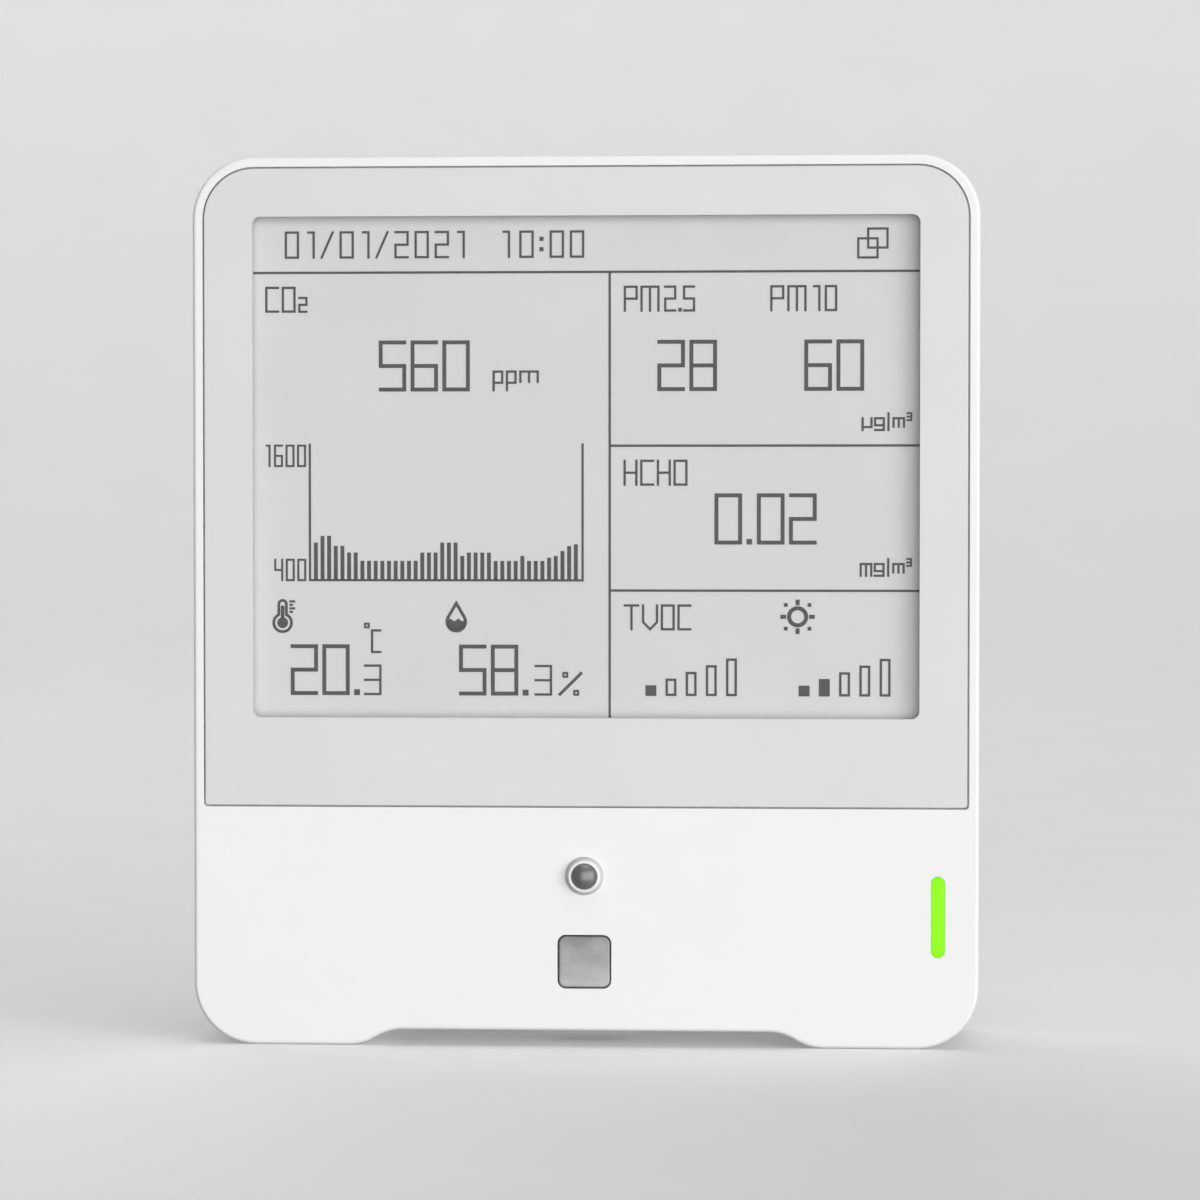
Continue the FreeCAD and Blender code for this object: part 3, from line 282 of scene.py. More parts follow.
def silver_paint():
    """The button: satin silver paint, wiped smooth, a little lighter towards its lower edge, with a painted
    highlight on its rounded edges.
    """
    finish = Finish("button_silver")
    low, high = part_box("button_cap")
    height = finish.scaled(finish.axis("Z"), 1.0, 0.0, low.z, high.z)
    clouds = finish.scaled(finish.noise(2.2 * MM, detail=4.0, stretch=(0.6, 1.0, 1.0)), -0.25, 0.25)
    share = finish.math("ADD", height, clouds)
    base = finish.mixed(share, (0.215, 0.215, 0.215), (0.435, 0.435, 0.435))
    rounded = finish.soft_edges(0.1 * MM)
    # Painted highlight: the rounded edges are lightened towards a pale grey, standing in for the light they
    # catch.
    finish.set(Base_Color=finish.mixed(finish.math("MULTIPLY", finish.edge_mask(rounded), 0.9), base,
                                       (0.88, 0.88, 0.88)))
    flakes = finish.noise(0.07 * MM, detail=1.0)
    finish.set(Metallic=0.25, Roughness=finish.scaled(flakes, 0.34, 0.46))
    finish.set(Normal=finish.bump(flakes, 0.0015 * MM, rounded))
    return finish


def smoked_lens():
    """The dome: smoked plastic with a soft bloom, a polished skin and a faint moulding swirl."""
    finish = Finish("lens_dark")
    bloom = finish.scaled(finish.noise(1.1 * MM, detail=3.0), 0.0, 1.0)
    finish.set(Base_Color=finish.mixed(bloom, (0.118, 0.118, 0.120), (0.146, 0.146, 0.148)))
    finish.set(Roughness=finish.scaled(finish.noise(0.5 * MM), 0.34, 0.42))
    finish.set(Coat_Weight=0.9, Coat_IOR=1.7, Coat_Roughness=0.24)
    finish.set(Normal=finish.bump(finish.noise(0.3 * MM), 0.003 * MM, finish.soft_edges(0.05 * MM)))
    return finish


def lit_bar():
    """The status bar: green light behind a frosted plastic, a trace brighter over its lamps."""
    finish = Finish("light_green")
    low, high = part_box("status_light_guide")
    middle = (low.z + high.z) / 2
    away = finish.math("ABSOLUTE", finish.math("SUBTRACT", finish.axis("Z"), middle))
    glow = finish.scaled(away, 1.0, 0.0, 3 * MM, 5.5 * MM)
    frost = finish.scaled(finish.noise(0.25 * MM), -0.08, 0.08)
    colour = finish.mixed(finish.math("ADD", glow, frost), (0.16, 0.56, 0.004), (0.18, 0.60, 0.007))
    finish.set(Base_Color=colour, Emission_Color=colour, Emission_Strength=0.68, Specular_IOR_Level=0.12)
    finish.set(Roughness=finish.scaled(finish.noise(1 * MM), 0.32, 0.44))
    finish.set(Normal=finish.bump(finish.noise(0.15 * MM), 0.004 * MM, finish.soft_edges(0.1 * MM)))
    return finish


def foam(name, colour):
    finish = Finish(name)
    pores = finish.cells(0.35 * MM)
    finish.set(Base_Color=finish.mixed(pores, shade(colour, 1.5), shade(colour, 0.5)), Roughness=0.95)
    finish.set(Normal=finish.bump(pores, 0.15 * MM, finish.soft_edges(0.1 * MM)))
    return finish


def felt():
    """Filter membrane: pressed fibres."""
    finish = Finish("filter_white")
    fibres = finish.noise(0.12 * MM, detail=6.0, stretch=(0.3, 1.0, 1.0))
    share = finish.scaled(fibres, 0.0, 1.0)
    finish.set(Base_Color=finish.mixed(share, (0.78, 0.77, 0.74), (0.93, 0.93, 0.91)))
    finish.set(Roughness=0.9, Sheen_Weight=0.3)
    finish.set(Normal=finish.bump(fibres, 0.05 * MM, finish.soft_edges(0.1 * MM)))
    return finish


def circuit_board():
    """Green solder mask over copper tracks, with plated holes showing through here and there."""
    finish = Finish("board_green")
    tracks = finish.add("ShaderNodeTexBrick")
    upright = finish.add("ShaderNodeMapping")
    finish.put(upright.inputs["Vector"], finish.place)
    finish.put(upright.inputs["Rotation"], (math.radians(90), 0.0, 0.0))
    finish.put(tracks.inputs["Vector"], upright.outputs["Vector"])
    finish.put(tracks.inputs["Scale"], 1 / (2.4 * MM))
    finish.put(tracks.inputs["Mortar Size"], 0.035)
    line = finish.math("SUBTRACT", 1.0, tracks.outputs["Fac"])
    clouds = finish.scaled(finish.noise(8 * MM), 0.0, 1.0)
    mask_green = finish.mixed(clouds, (0.012, 0.12, 0.05), (0.02, 0.16, 0.07))
    with_tracks = finish.mixed(line, (0.03, 0.24, 0.10), mask_green)
    holes = finish.scaled(finish.cells(3.1 * MM), 1.0, 0.0, 0.07, 0.09)
    finish.set(Base_Color=finish.mixed(holes, with_tracks, (0.75, 0.58, 0.25)))
    finish.set(Metallic=finish.math("MULTIPLY", holes, 0.8))
    finish.set(Roughness=finish.scaled(finish.noise(2 * MM), 0.32, 0.42))
    finish.set(Normal=finish.bump(line, 0.02 * MM, finish.soft_edges(0.08 * MM)))
    return finish


def cell_sleeve():
    """AA cells: a printed sleeve with a plain band near one side, and bare steel ends."""
    finish = Finish("cell_wrap")
    low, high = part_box("battery_cells")
    across = finish.math("ABSOLUTE", finish.axis("X"))
    steel = finish.scaled(across, 0.0, 1.0, high.x - 1.4 * MM, high.x - 1.35 * MM)
    band = finish.scaled(across, 0.0, 1.0, high.x - 11 * MM, high.x - 10.9 * MM)
    clouds = finish.scaled(finish.noise(9 * MM), 0.0, 1.0)
    body = finish.mixed(clouds, (0.035, 0.10, 0.075), (0.05, 0.13, 0.095))
    sleeve = finish.mixed(band, body, (0.62, 0.62, 0.60))
    finish.set(Base_Color=finish.mixed(steel, sleeve, (0.68, 0.68, 0.67)))
    finish.set(Metallic=steel, Roughness=finish.scaled(finish.noise(0.8 * MM), 0.26, 0.36))
    finish.set(Normal=finish.bump(finish.noise(0.5 * MM), 0.004 * MM, finish.soft_edges(0.15 * MM)))
    return finish


def ribbon_film():
    """Amber flexible film with its copper conductors side by side."""
    finish = Finish("flat_cable")
    pitch = 0.5 * MM
    angle = finish.math("MULTIPLY", finish.axis("X"), math.pi / pitch)
    wave = finish.math("ABSOLUTE", finish.math("SINE", angle))
    conductor = finish.scaled(wave, 0.0, 1.0, 0.45, 0.6)
    finish.set(Base_Color=finish.mixed(conductor, (0.40, 0.17, 0.035), (0.62, 0.30, 0.08)))
    finish.set(Roughness=finish.scaled(finish.noise(2 * MM), 0.28, 0.4))
    finish.set(Normal=finish.bump(conductor, 0.02 * MM, finish.soft_edges(0.05 * MM)))
    return finish


def wire_sleeves():
    """The battery leads: red on the right, black on the left."""
    finish = Finish("wire_red")
    side = finish.scaled(finish.axis("X"), 0.0, 1.0, -0.25 * MM, -0.15 * MM)
    shine = finish.noise(1.5 * MM)
    finish.set(Base_Color=finish.mixed(side, (0.02, 0.02, 0.02), (0.52, 0.022, 0.016)))
    finish.set(Roughness=finish.scaled(shine, 0.36, 0.5))
    finish.set(Normal=finish.bump(finish.noise(0.3 * MM), 0.008 * MM, finish.soft_edges(0.05 * MM)))
    return finish


# One finish for each material slot of the record.
FINISHES = {
    "casing_white": moulded("casing_white", WHITE, WHITE_ROUGHNESS, tint=WHITE_TINT),
    "inner_white": moulded("inner_white", (0.76, 0.76, 0.74), 0.5),
    "panel_grey": panel_sheet(),
    "clear_window": clear_sheet(),
    "display_glass": paper_screen(),
    "cushion_foam": foam("cushion_foam", (0.045, 0.045, 0.05)),
    "flat_cable": ribbon_film(),
    "connector_ivory": moulded("connector_ivory", (0.70, 0.66, 0.54), 0.45),
    "lens_dark": smoked_lens(),
    "button_silver": silver_paint(),
    "light_green": lit_bar(),
    "switch_metal": metal("switch_metal", (0.60, 0.60, 0.61), 0.32),
    "chip_black": moulded("chip_black", (0.028, 0.028, 0.030), 0.55, grain=0.1 * MM, relief=0.012 * MM,
                          tint=0.15),
    "board_green": circuit_board(),
    "can_metal": metal("can_metal", (0.66, 0.66, 0.64), 0.30),
    "sensor_gold": metal("sensor_gold", (0.80, 0.60, 0.26), 0.28),
    "filter_white": felt(),
    "cell_wrap": cell_sleeve(),
    "contact_nickel": metal("contact_nickel", (0.68, 0.65, 0.60), 0.26),
    "wire_red": wire_sleeves(),
    "wire_black": moulded("wire_black", (0.022, 0.022, 0.024), 0.42, relief=0.006 * MM, tint=0.15),
    "screw_steel": metal("screw_steel", (0.52, 0.52, 0.54), 0.30),
    "counter_blue": moulded("counter_blue", (0.05, 0.09, 0.22), 0.48, tint=0.08),
}
# Nodes that don't take their slot's finish as it is.
OWN_FINISHES = {"sensor_collar": collar_white_painted_shade()}


def paint_cad_nodes():
    """Every CAD node takes its own finish, or else the finish of its slot in the record."""
    for part in frame["record"]["subparts"]:
        finish = OWN_FINISHES.get(part["node"], FINISHES[part["material_slot"]])
        for slot in frame["nodes"][part["node"]].material_slots:
            slot.material = finish.material


# ------------------------------------------------------------------ flat shapes printed on the display
def screen_point(column, row):
    return Vector((SCREEN_LEFT + column * DOT, SCREEN_TOP - row * DOT))


def prism(mesh, points):
    """Closed solid of the ink's thickness, from one outline in dots."""
    places = [screen_point(*point) for point in points]
    front = [mesh.verts.new((place.x, INK_FRONT, place.y)) for place in places]
    back = [mesh.verts.new((place.x, INK_BACK, place.y)) for place in places]
    mesh.faces.new(front)
    mesh.faces.new(back[::-1])
    for i in range(len(points)):
        mesh.faces.new((front[i - 1], front[i], back[i], back[i - 1]))


def block(mesh, left, top, width, height):
    """Closed upright rectangle in dots, grown by the ink's spread."""
    left, right = left - INK_SPREAD / 2, left + width + INK_SPREAD / 2
    top, foot = top - INK_SPREAD / 2, top + height + INK_SPREAD / 2
    prism(mesh, [(left, top), (right, top), (right, foot), (left, foot)])


def normal_of(start, end):
    along = (end - start).normalized()
    return Vector((-along.y, along.x))


def ribbon(mesh, points, stroke, start_cap=0.5, end_cap=0.5):
    """Closed solid along a path in dots, with mitred corners. A path that ends where it starts is a ring.

    The stroke comes out wider by the ink's spread. Each cap is how far that end reaches past its point,
    in strokes. It is below 0 where the end meets the side of another stroke.
    """
    stroke += INK_SPREAD
    path = [Vector(point) for point in points]
    ring = (path[0] - path[-1]).length < 1e-6
    if ring:
        path = path[:-1]
    else:
        path[0] = path[0] + (path[0] - path[1]).normalized() * start_cap * stroke
        path[-1] = path[-1] + (path[-1] - path[-2]).normalized() * end_cap * stroke
    count = len(path)
    rows = []
    for i, point in enumerate(path):
        before = normal_of(path[i - 1], point) if ring or i > 0 else None
        after = normal_of(point, path[(i + 1) % count]) if ring or i < count - 1 else None
        first, second = before or after, after or before
        side = (first + second) * (stroke / 2 / (1 + first.dot(second)))
        corners = []
        for place in (screen_point(*(point + side)), screen_point(*(point - side))):
            corners.append(mesh.verts.new((place.x, INK_FRONT, place.y)))
            corners.append(mesh.verts.new((place.x, INK_BACK, place.y)))
        rows.append((corners[0], corners[1], corners[3], corners[2]))
    pairs = list(zip(rows, rows[1:] + rows[:1]))
    for here, there in pairs if ring else pairs[:-1]:
        for i in range(4):
            mesh.faces.new((here[i - 1], here[i], there[i], there[i - 1]))
    if not ring:
        mesh.faces.new(rows[0])
        mesh.faces.new(rows[-1][::-1])


def arc(x, row, radius, start, end, steps):
    """Points on a circle, in degrees from the right, turning upwards."""
    angles = (math.radians(start + (end - start) * i / steps) for i in range(steps + 1))
    return [(x + radius * math.cos(a), row - radius * math.sin(a)) for a in angles]


# ------------------------------------------------------------------ the display's plain square lettering
# Each glyph is a list of paths in a box that is 1 wide and 1 high, with the first row at the top.
HOOP = [(0, 0), (1, 0), (1, 1), (0, 1), (0, 0)]
BAR = [(0, 0.5), (1, 0.5)]
ARCH = [(0, 1), (0, 0), (1, 0), (1, 1)]
GLYPHS = {
    "0": [HOOP],
    "1": [[(0, 0), (1, 0), (1, 1)]],
    "2": [[(0, 0), (1, 0), (1, 0.5), (0, 0.5), (0, 1), (1, 1)]],
    "3": [[(0, 0), (1, 0), (1, 1), (0, 1)], BAR],
    "4": [[(0, 0), (0, 0.5), (1, 0.5)], [(1, 0), (1, 1)]],
    "5": [[(1, 0), (0, 0), (0, 0.5), (1, 0.5), (1, 1), (0, 1)]],
    "6": [[(1, 0), (0, 0), (0, 1), (1, 1), (1, 0.5), (0, 0.5)]],
    "8": [HOOP, BAR],
    "/": [[(0, 1), (1, 0)]],
    "|": [[(0, 0), (0, 1)]],
    "C": [[(1, 0), (0, 0), (0, 1), (1, 1)]],
    "H": [[(0, 0), (0, 1)], [(1, 0), (1, 1)], BAR],
    "M": [ARCH, [(0.5, 0), (0.5, 1)]],
    "O": [HOOP],
    "P": [[(0, 1), (0, 0), (1, 0), (1, 0.5), (0, 0.5)]],
    "T": [[(0, 0), (1, 0)], [(0.5, 0), (0.5, 1)]],
    "V": [[(0, 0), (0, 0.7), (0.5, 1), (1, 0.7), (1, 0)]],
    "g": [[(1, 0.6), (0, 0.6), (0, 0), (1, 0), (1, 1), (0, 1)]],
    "p": [[(0, 1), (0, 0), (1, 0), (1, 0.6), (0, 0.6)]],
    "u": [[(0, 0), (0, 1)], [(0, 0.75), (1, 0.75), (1, 0)]],
    "pair": [[(0.34, 0), (1, 0), (1, 0.66), (0.34, 0.66), (0.34, 0)],
             [(0.34, 0.34), (0, 0.34), (0, 1), (0.66, 1), (0.66, 0.66)],
             [(0.34, 0.34), (0.66, 0.34), (0.66, 0.66)]],
}
NARROW = {"1": 0.52, "/": 0.92}     # the width of a glyph that isn't as wide as the rest, in widths
LEAD = {"1": 0.17}                  # the space kept before a glyph, in widths

# Sizes in dots of a run of glyphs, and the gap between them.
Style = namedtuple("Style", "width height stroke gap")
DATE = Style(8.45, 16.2, 1.15, 3.7)
LABEL = Style(8.2, 15.4, 1.15, 1.8)
BIG = Style(16.3, 30.4, 2.1, 2.9)
THIN = Style(10.4, 18.3, 1.15, 2.0)
SCALE = Style(5.2, 13.3, 1.0, 1.8)


def on_path(point, path, own_end):
    """Whether the point lies on a segment of the path, other than the one it ends."""
    segments = list(zip(path, path[1:]))
    for i, (start, end) in enumerate(segments):
        if own_end is not None and i == own_end % len(segments):
            continue
        a, b, p = Vector(start), Vector(end), Vector(point)
        reach = max(0.0, min(1.0, (p - a).dot(b - a) / (b - a).length_squared))
        if (a + (b - a) * reach - p).length < 1e-6:
            return True
    return False


def glyph(mesh, name, left, top, width, height, stroke):
    """Draws a glyph whose strokes fill its box, and stand out of it by half of the ink's spread."""
    paths = GLYPHS[name]
    for path in paths:
        caps = []
        for end in (0, -1):
            meets = any(on_path(path[end], other, end if other is path else None) for other in paths)
            caps.append(-0.5 if meets else 0.5)
        inner_width = max(width - stroke, 0.0)
        first_x, first_y = left + stroke / 2, top + stroke / 2
        places = [(first_x + x * inner_width, first_y + y * (height - stroke)) for x, y in path]
        ribbon(mesh, places, stroke, *caps)


def write(mesh, text, left, top, style):
    """Draws a run of glyphs and returns the column after its last one."""
    for name in text:
        left += style.width * LEAD.get(name, 0.0)
        width = style.width * NARROW.get(name, 1.0)
        glyph(mesh, name, left, top, width, style.height, style.stroke)
        left += width + style.gap
    return left - style.gap


# ------------------------------------------------------------------ what the display shows
HEADER_ROW = 33.1
DIVIDER = 214.8
RIGHT_RULES = (137.2, 224.1)
RULE = 1.15
LABEL_TOP = 41.5            # the upper labels hang from here, and the upper big figures from the next one
BIG_TOP = 74.0
FOOT_ROW = 287.3            # the lowest line of figures stands here
POINT = 3.3                 # side of a decimal point in the lowest line
SMALL_M_WIDTH = 11.3        # of the M in a label


def draw_rules(mesh):
    """The line under the header, the upright divider and the two lines on its right."""
    block(mesh, 0, HEADER_ROW - RULE / 2, DOTS_ACROSS, RULE)
    below = HEADER_ROW + RULE / 2
    block(mesh, DIVIDER - RULE / 2, below, RULE, SCREEN_ROWS - below)
    for row in RIGHT_RULES:
        block(mesh, DIVIDER + RULE / 2, row - RULE / 2, DOTS_ACROSS - DIVIDER - RULE / 2, RULE)


def draw_header(mesh):
    """Date, time and the sign of two linked squares."""
    top, colon_dot = 8.3, 2.25
    write(mesh, "01/01/2021", 19.0, top, DATE)
    write(mesh, "1", 149.0, top, DATE)
    write(mesh, "0", 160.6, top, DATE)
    for row in (12.1, 18.3):
        block(mesh, 172.7, row, colon_dot, colon_dot)
    write(mesh, "00", 178.8, top, DATE)
    glyph(mesh, "pair", 362.8, 7.3, 18.5, 18.3, 1.1)


def draw_carbon_dioxide(mesh):
    end = write(mesh, "CO", 7.1, LABEL_TOP, LABEL)
    glyph(mesh, "2", end + 1.8, 47.6, 5.4, 9.4, 1.1)
    write(mesh, "560", 75.8, BIG_TOP, BIG)
    x_height, row = 7.3, 92.1
    write(mesh, "pp", 144.4, row, Style(6.3, 12.3, 1.15, 1.7))
    glyph(mesh, "M", 160.5, row, 11.6, x_height, 1.15)


CHART_LEFT = 33.8
CHART_RIGHT = 198.5
CHART_TOP = 136.5
CHART_FOOT = 218.6
# How many bars in a row have the same height, and that height in dots.
BAR_RUNS = ((1, 22), (2, 26), (2, 20), (2, 16), (9, 11), (3, 16), (3, 22), (1, 14), (4, 16), (4, 11), (1, 14),
            (3, 11), (1, 13), (1, 14), (1, 17), (1, 20), (1, 21))


def draw_chart(mesh):
    """Axes with their end values, and a bar for each of the last hours."""
    line = 1.1
    floor = CHART_FOOT - line / 2
    left_axis = [(CHART_LEFT, CHART_TOP), (CHART_LEFT, floor)]
    ribbon(mesh, left_axis + [(CHART_RIGHT, floor), (CHART_RIGHT, CHART_TOP)], line)
    heights = [height for count, height in BAR_RUNS for _ in range(count)]
    width, first = 2.1, 36.3
    pitch = (CHART_RIGHT - first - line) / len(heights)
    for i, height in enumerate(heights):
        block(mesh, first + i * pitch, CHART_FOOT - line - height, width, height)
    for text, left, top in (("1", 6.3, CHART_TOP), ("600", 12.2, CHART_TOP), ("400", 12.2, 205.3)):
        write(mesh, text, left, top, SCALE)


def draw_thermometer(mesh):
    """A bulb and a tube in one outline, the fluid inside and four marks beside it."""
    centre, bulb_row, bulb, tube, top = 17.1, 243.8, 5.4, 2.3, 232.6
    opening = math.degrees(math.asin(tube / bulb))
    outline = arc(centre, bulb_row, bulb, 90 + opening, 450 - opening, 24) + arc(centre, top, tube, 0, 180, 8)
    ribbon(mesh, outline + outline[:1], 1.4)
    fluid, stem, fluid_top = 3.3, 1.1, 233.5
    cut = math.degrees(math.asin(stem / fluid))
    pool = arc(centre, bulb_row, fluid, 90 + cut, 450 - cut, 20)
    prism(mesh, pool + [(centre + stem, fluid_top), (centre - stem, fluid_top)])
    marks_left, marks_top, pitch, thick, long_mark, short_mark = 21.4, 230.4, 2.1, 1.1, 3.2, 1.8
    for i in range(4):
        block(mesh, marks_left, marks_top + i * pitch, short_mark if i % 2 else long_mark, thick)


def draw_temperature(mesh):
    top = FOOT_ROW - BIG.height
    write(mesh, "20", 22.1, top, BIG)
    block(mesh, 60.5, FOOT_ROW - POINT, POINT, POINT)
    glyph(mesh, "3", 66.5, FOOT_ROW - THIN.height, *THIN[:3])
    glyph(mesh, "O", 66.6, 243.8, 3.2, 3.2, 0.95)
    glyph(mesh, "C", 70.8, 247.8, 6.1, 14.1, 1.1)


def draw_drop(mesh):
    """A drop in outline, filled below a wavy surface."""
    centre, row, radius, apex = 122.3, 243.0, 5.6, 231.9
    lean = math.degrees(math.acos(radius / (row - apex)))
    outline = [(centre, apex)] + arc(centre, row, radius, 90 - lean, -270 + lean, 24)
    ribbon(mesh, outline + outline[:1], 1.6)
    # The fluid is round below, with two waves on top. It meets the wall this many degrees above the middle.
    above = 12
    inner, surface, wave_height, steps = radius - 0.6, 241.9, 0.8, 12
    bowl = arc(centre, row, inner, 180 - above, 360 + above, 20)
    half_width = inner * math.cos(math.radians(above))
    wave = []
    for i in range(1, steps):
        share = i / steps
        wave.append((centre + half_width * (1 - 2 * share),
                     surface + wave_height * math.sin(share * 4 * math.pi)))
    prism(mesh, bowl + wave)


def draw_humidity(mesh):
    top = FOOT_ROW - BIG.height
    write(mesh, "58", 124.1, top, BIG)
    block(mesh, 162.5, FOOT_ROW - POINT, POINT, POINT)
    glyph(mesh, "3", 169.6, FOOT_ROW - THIN.height, *THIN[:3])
    sign_top, small_ring = 273.2, 3.3
    glyph(mesh, "/", 184.1, sign_top, 14.2, FOOT_ROW - sign_top, 1.55)
    glyph(mesh, "O", 186.4, sign_top, small_ring, small_ring, 1.0)
    glyph(mesh, "O", 193.0, FOOT_ROW - small_ring, small_ring, small_ring, 1.0)


def draw_per_cubic_metre(mesh, first, left, foot):
    """A unit such as mg|m3, whose first glyph ends where the others begin."""
    height, tall, stroke, first_right = 8.1, 11.0, 1.1, 372.0
    glyph(mesh, first, left, foot - height, first_right - left, height, stroke)
    glyph(mesh, "g", 373.0, foot - height, 6.3, height, stroke)
    glyph(mesh, "|", 381.0, foot - tall, stroke, tall, stroke)
    glyph(mesh, "M", 384.0, foot - height, 7.3, 6.1, stroke)
    glyph(mesh, "3", 392.4, foot - tall, 3.2, 5.0, 0.9)


def draw_fine_dust(mesh):
    digit, point = 7.1, 2.0
    write(mesh, "P", 223.3, LABEL_TOP, LABEL)
    glyph(mesh, "M", 233.3, LABEL_TOP, SMALL_M_WIDTH, LABEL.height, LABEL.stroke)
    glyph(mesh, "2", 247.5, LABEL_TOP, digit, LABEL.height, LABEL.stroke)
    block(mesh, 255.9, LABEL_TOP + LABEL.height - point, point, point)
    glyph(mesh, "5", 258.8, LABEL_TOP, digit, LABEL.height, LABEL.stroke)
    write(mesh, "28", 243.5, BIG_TOP, BIG)


def draw_coarse_dust(mesh):
    write(mesh, "P", 311.0, LABEL_TOP, LABEL)
    glyph(mesh, "M", 321.2, LABEL_TOP, SMALL_M_WIDTH, LABEL.height, LABEL.stroke)
    glyph(mesh, "1", 336.5, LABEL_TOP, 4.3, LABEL.height, LABEL.stroke)
    glyph(mesh, "0", 343.5, LABEL_TOP, 7.3, LABEL.height, LABEL.stroke)
    write(mesh, "60", 331.4, BIG_TOP, BIG)
    draw_per_cubic_metre(mesh, "u", 365.6, 128.5)


def draw_formaldehyde(mesh):
    write(mesh, "HCHO", 223.2, 145.7, LABEL)
    top, point = 165.9, 3.1
    write(mesh, "0", 277.8, top, BIG)
    block(mesh, 297.0, top + BIG.height - point, point, point)
    write(mesh, "02", 303.2, top, BIG)
    draw_per_cubic_metre(mesh, "M", 364.6, 215.6)


def draw_level(mesh, left, filled):
    """Five steps of rising height, the first ones filled in."""
    lowest, rise, pitch, width = 6.2, 4.05, 12.1, 6.3
    for i in range(5):
        height = lowest + rise * i
        place = (left + pitch * i, FOOT_ROW - height, width, height)
        if i < filled:
            block(mesh, *place)
        else:
            glyph(mesh, "O", *place, 1.2)


def draw_organic_vapour(mesh):
    top = 232.5
    glyph(mesh, "T", 223.3, top, 9.2, LABEL.height, LABEL.stroke)
    glyph(mesh, "V", 234.3, top, 9.5, LABEL.height, LABEL.stroke)
    write(mesh, "OC", 245.6, top, LABEL)
    draw_level(mesh, 236.4, 1)


def draw_light_level(mesh):
    """A sun with eight rays, and its five steps."""
    centre, row, radius, ray = 327.5, 239.7, 5.15, 2.2
    circle = arc(centre, row, radius, 0, 360, 28)
    ribbon(mesh, circle[:-1] + circle[:1], ray)
    near, far, corner = 6.9, 10.3, 7.1
    for side in (-1, 1):
        ribbon(mesh, [(centre, row + side * near), (centre, row + side * far)], ray, 0, 0)
        ribbon(mesh, [(centre + side * near, row), (centre + side * far, row)], ray, 0, 0)
        for other in (-1, 1):
            block(mesh, centre + side * corner - 1, row + other * corner - 1, 2, 2)
    draw_level(mesh, 328.3, 2)


DISPLAY_PIECES = {
    "screen_rules": draw_rules,
    "screen_header": draw_header,
    "screen_carbon_dioxide": draw_carbon_dioxide,
    "screen_chart": draw_chart,
    "screen_thermometer": draw_thermometer,
    "screen_temperature": draw_temperature,
    "screen_drop": draw_drop,
    "screen_humidity": draw_humidity,
    "screen_fine_dust": draw_fine_dust,
    "screen_coarse_dust": draw_coarse_dust,
    "screen_formaldehyde": draw_formaldehyde,
    "screen_organic_vapour": draw_organic_vapour,
    "screen_light_level": draw_light_level,
}


def object_from(name, mesh, material):
    """Turns a finished bmesh into an object in the scene."""
    bmesh.ops.recalc_face_normals(mesh, faces=mesh.faces)
    data = bpy.data.meshes.new(name)
    mesh.to_mesh(data)
    mesh.free()
    data.materials.append(material)
    made = bpy.data.objects.new(name, data)
    bpy.context.scene.collection.objects.link(made)
    return made


def print_display():
    """The shown figures, as thin dark shapes just in front of the display's film."""
    dark = ink().material
    for name, draw in DISPLAY_PIECES.items():
        mesh = bmesh.new()
        draw(mesh)
        piece = object_from(name, mesh, dark)
        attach(piece, "casing")


# ------------------------------------------------------------------ studio
def studio_surface():
    finish = Finish("studio")
    clouds = finish.scaled(finish.noise(30 * MM, detail=5.0), 0.0, 1.0)
    finish.set(Base_Color=finish.mixed(clouds, (0.80, 0.80, 0.80), (0.82, 0.82, 0.82)))
    finish.set(Roughness=0.9, Emission_Color=(1.0, 1.0, 1.0), Emission_Strength=0.13)
    return finish.material


def build_studio_floor():
    """A pale floor that curves up into a round wall far from the object, the same from every side.

    The camera sees it and it catches shadows. It stops no light, sends none and shows in no reflection, so
    the lamps may stand outside it, and only they and the world light the object.
    """
    flat, bend, wall, sides, steps = 0.75, 0.75, 2.2, 96, 16
    centre_radius, below_the_feet = 0.02, 0.02 * MM
    profile = [(centre_radius, 0.0)]
    for i in range(steps + 1):
        a = math.radians(90 * i / steps)
        profile.append((flat + bend * math.sin(a), bend * (1 - math.cos(a))))
    profile.append((flat + bend, wall))
    mesh = bmesh.new()
    rings = []
    for radius, height in profile:
        ring = []
        for k in range(sides):
            a = 2 * math.pi * k / sides
            ring.append(mesh.verts.new((radius * math.cos(a), radius * math.sin(a), height - below_the_feet)))
        rings.append(ring)
    mesh.faces.new(rings[0])
    for lower, upper in zip(rings, rings[1:]):
        for k in range(sides):
            mesh.faces.new((lower[k - 1], lower[k], upper[k], upper[k - 1]))
    floor = object_from("studio_floor", mesh, studio_surface())
    floor.data.shade_smooth()
    floor.visible_shadow = False
    floor.visible_diffuse = False
    floor.visible_glossy = False


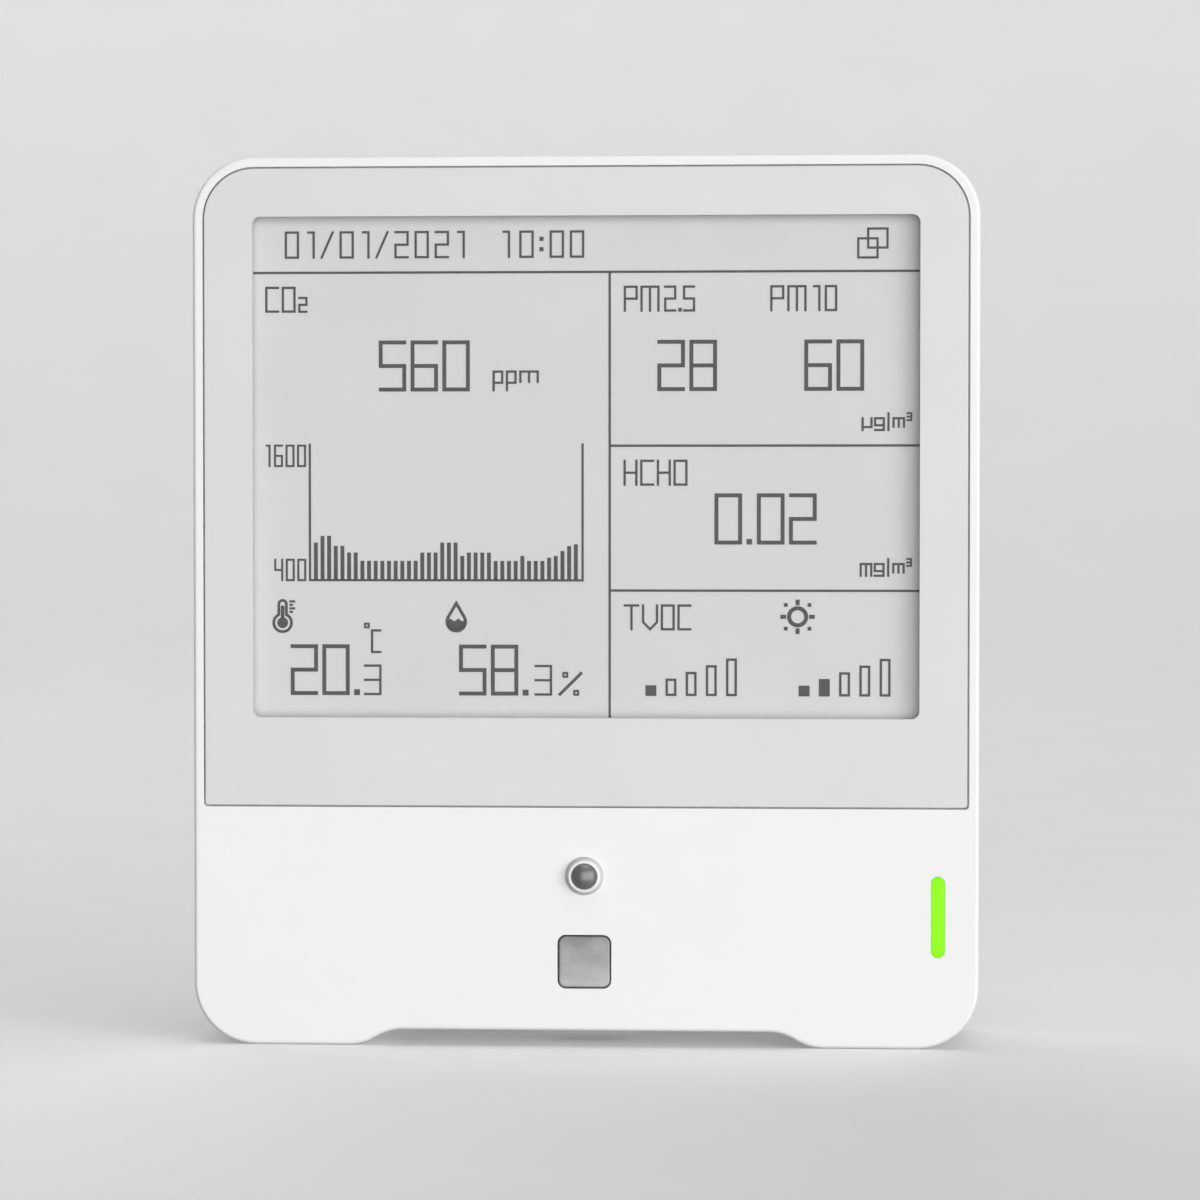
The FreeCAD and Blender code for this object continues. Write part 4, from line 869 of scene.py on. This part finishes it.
def aim(item, target):
    item.rotation_euler = (Vector(target) - item.location).to_track_quat("-Z", "Y").to_euler()


def soft_light(name, place, width, height, brightness, mirrored=True):
    """A softbox aimed at the object. Its power follows from the brightness and the size of its face.

    A softbox that isn't mirrored gives light and shade but doesn't show in glossy surfaces.
    """
    light = bpy.data.lights.new(name, "AREA")
    light.shape = "RECTANGLE"
    light.size = width
    light.size_y = height
    light.energy = brightness * math.pi * width * height
    lamp = bpy.data.objects.new(name, light)
    lamp.location = place
    lamp.visible_camera = False
    lamp.visible_glossy = mirrored
    aim(lamp, (0.0, 0.0, MIDDLE_Z))
    bpy.context.scene.collection.objects.link(lamp)


def build_lights():
    """A little light from all round, and four softboxes."""
    world = bpy.data.worlds.new("studio_light")
    world.use_nodes = True
    background = world.node_tree.nodes["Background"]
    background.inputs["Color"].default_value = (1.0, 1.0, 1.0, 1.0)
    background.inputs["Strength"].default_value = 0.14
    bpy.context.scene.world = world
    # The key is very wide, in front and to the right, and lights the face evenly.
    soft_light("key", (1.63, -3.21, 0.14), 6.5, 4.1, 2.13)
    # The side light makes the collar and the panel's edges throw soft shadows to the left.
    soft_light("side", (2.80, -1.90, 0.60), 1.5, 1.5, 4.2, mirrored=False)
    # The last two light the top and the back.
    soft_light("top", (0.20, -0.40, 1.90), 1.6, 1.2, 1.4)
    soft_light("back", (-1.3, 2.9, 0.9), 4.2, 3.0, 2.2)


def build_camera():
    """The lens is slightly right of the middle and above it, and looks at the front face."""
    distance, right, height = 0.4678, 0.0280, 0.0693
    target_right, target_height = 0.0020, 0.0569
    focal_length = 110.85           # in millimetres, for a sensor that is 36 mm wide
    camera = bpy.data.objects.new("camera", bpy.data.cameras.new("camera"))
    camera.data.lens = focal_length
    camera.data.clip_start = 0.02
    camera.location = (right, FRONT_Y - distance, height)
    aim(camera, (target_right, FRONT_Y, target_height))
    bpy.context.scene.collection.objects.link(camera)
    bpy.context.scene.camera = camera


paint_cad_nodes()
print_display()
build_studio_floor()
build_lights()
build_camera()
bpy.context.scene.view_settings.view_transform = "Standard"
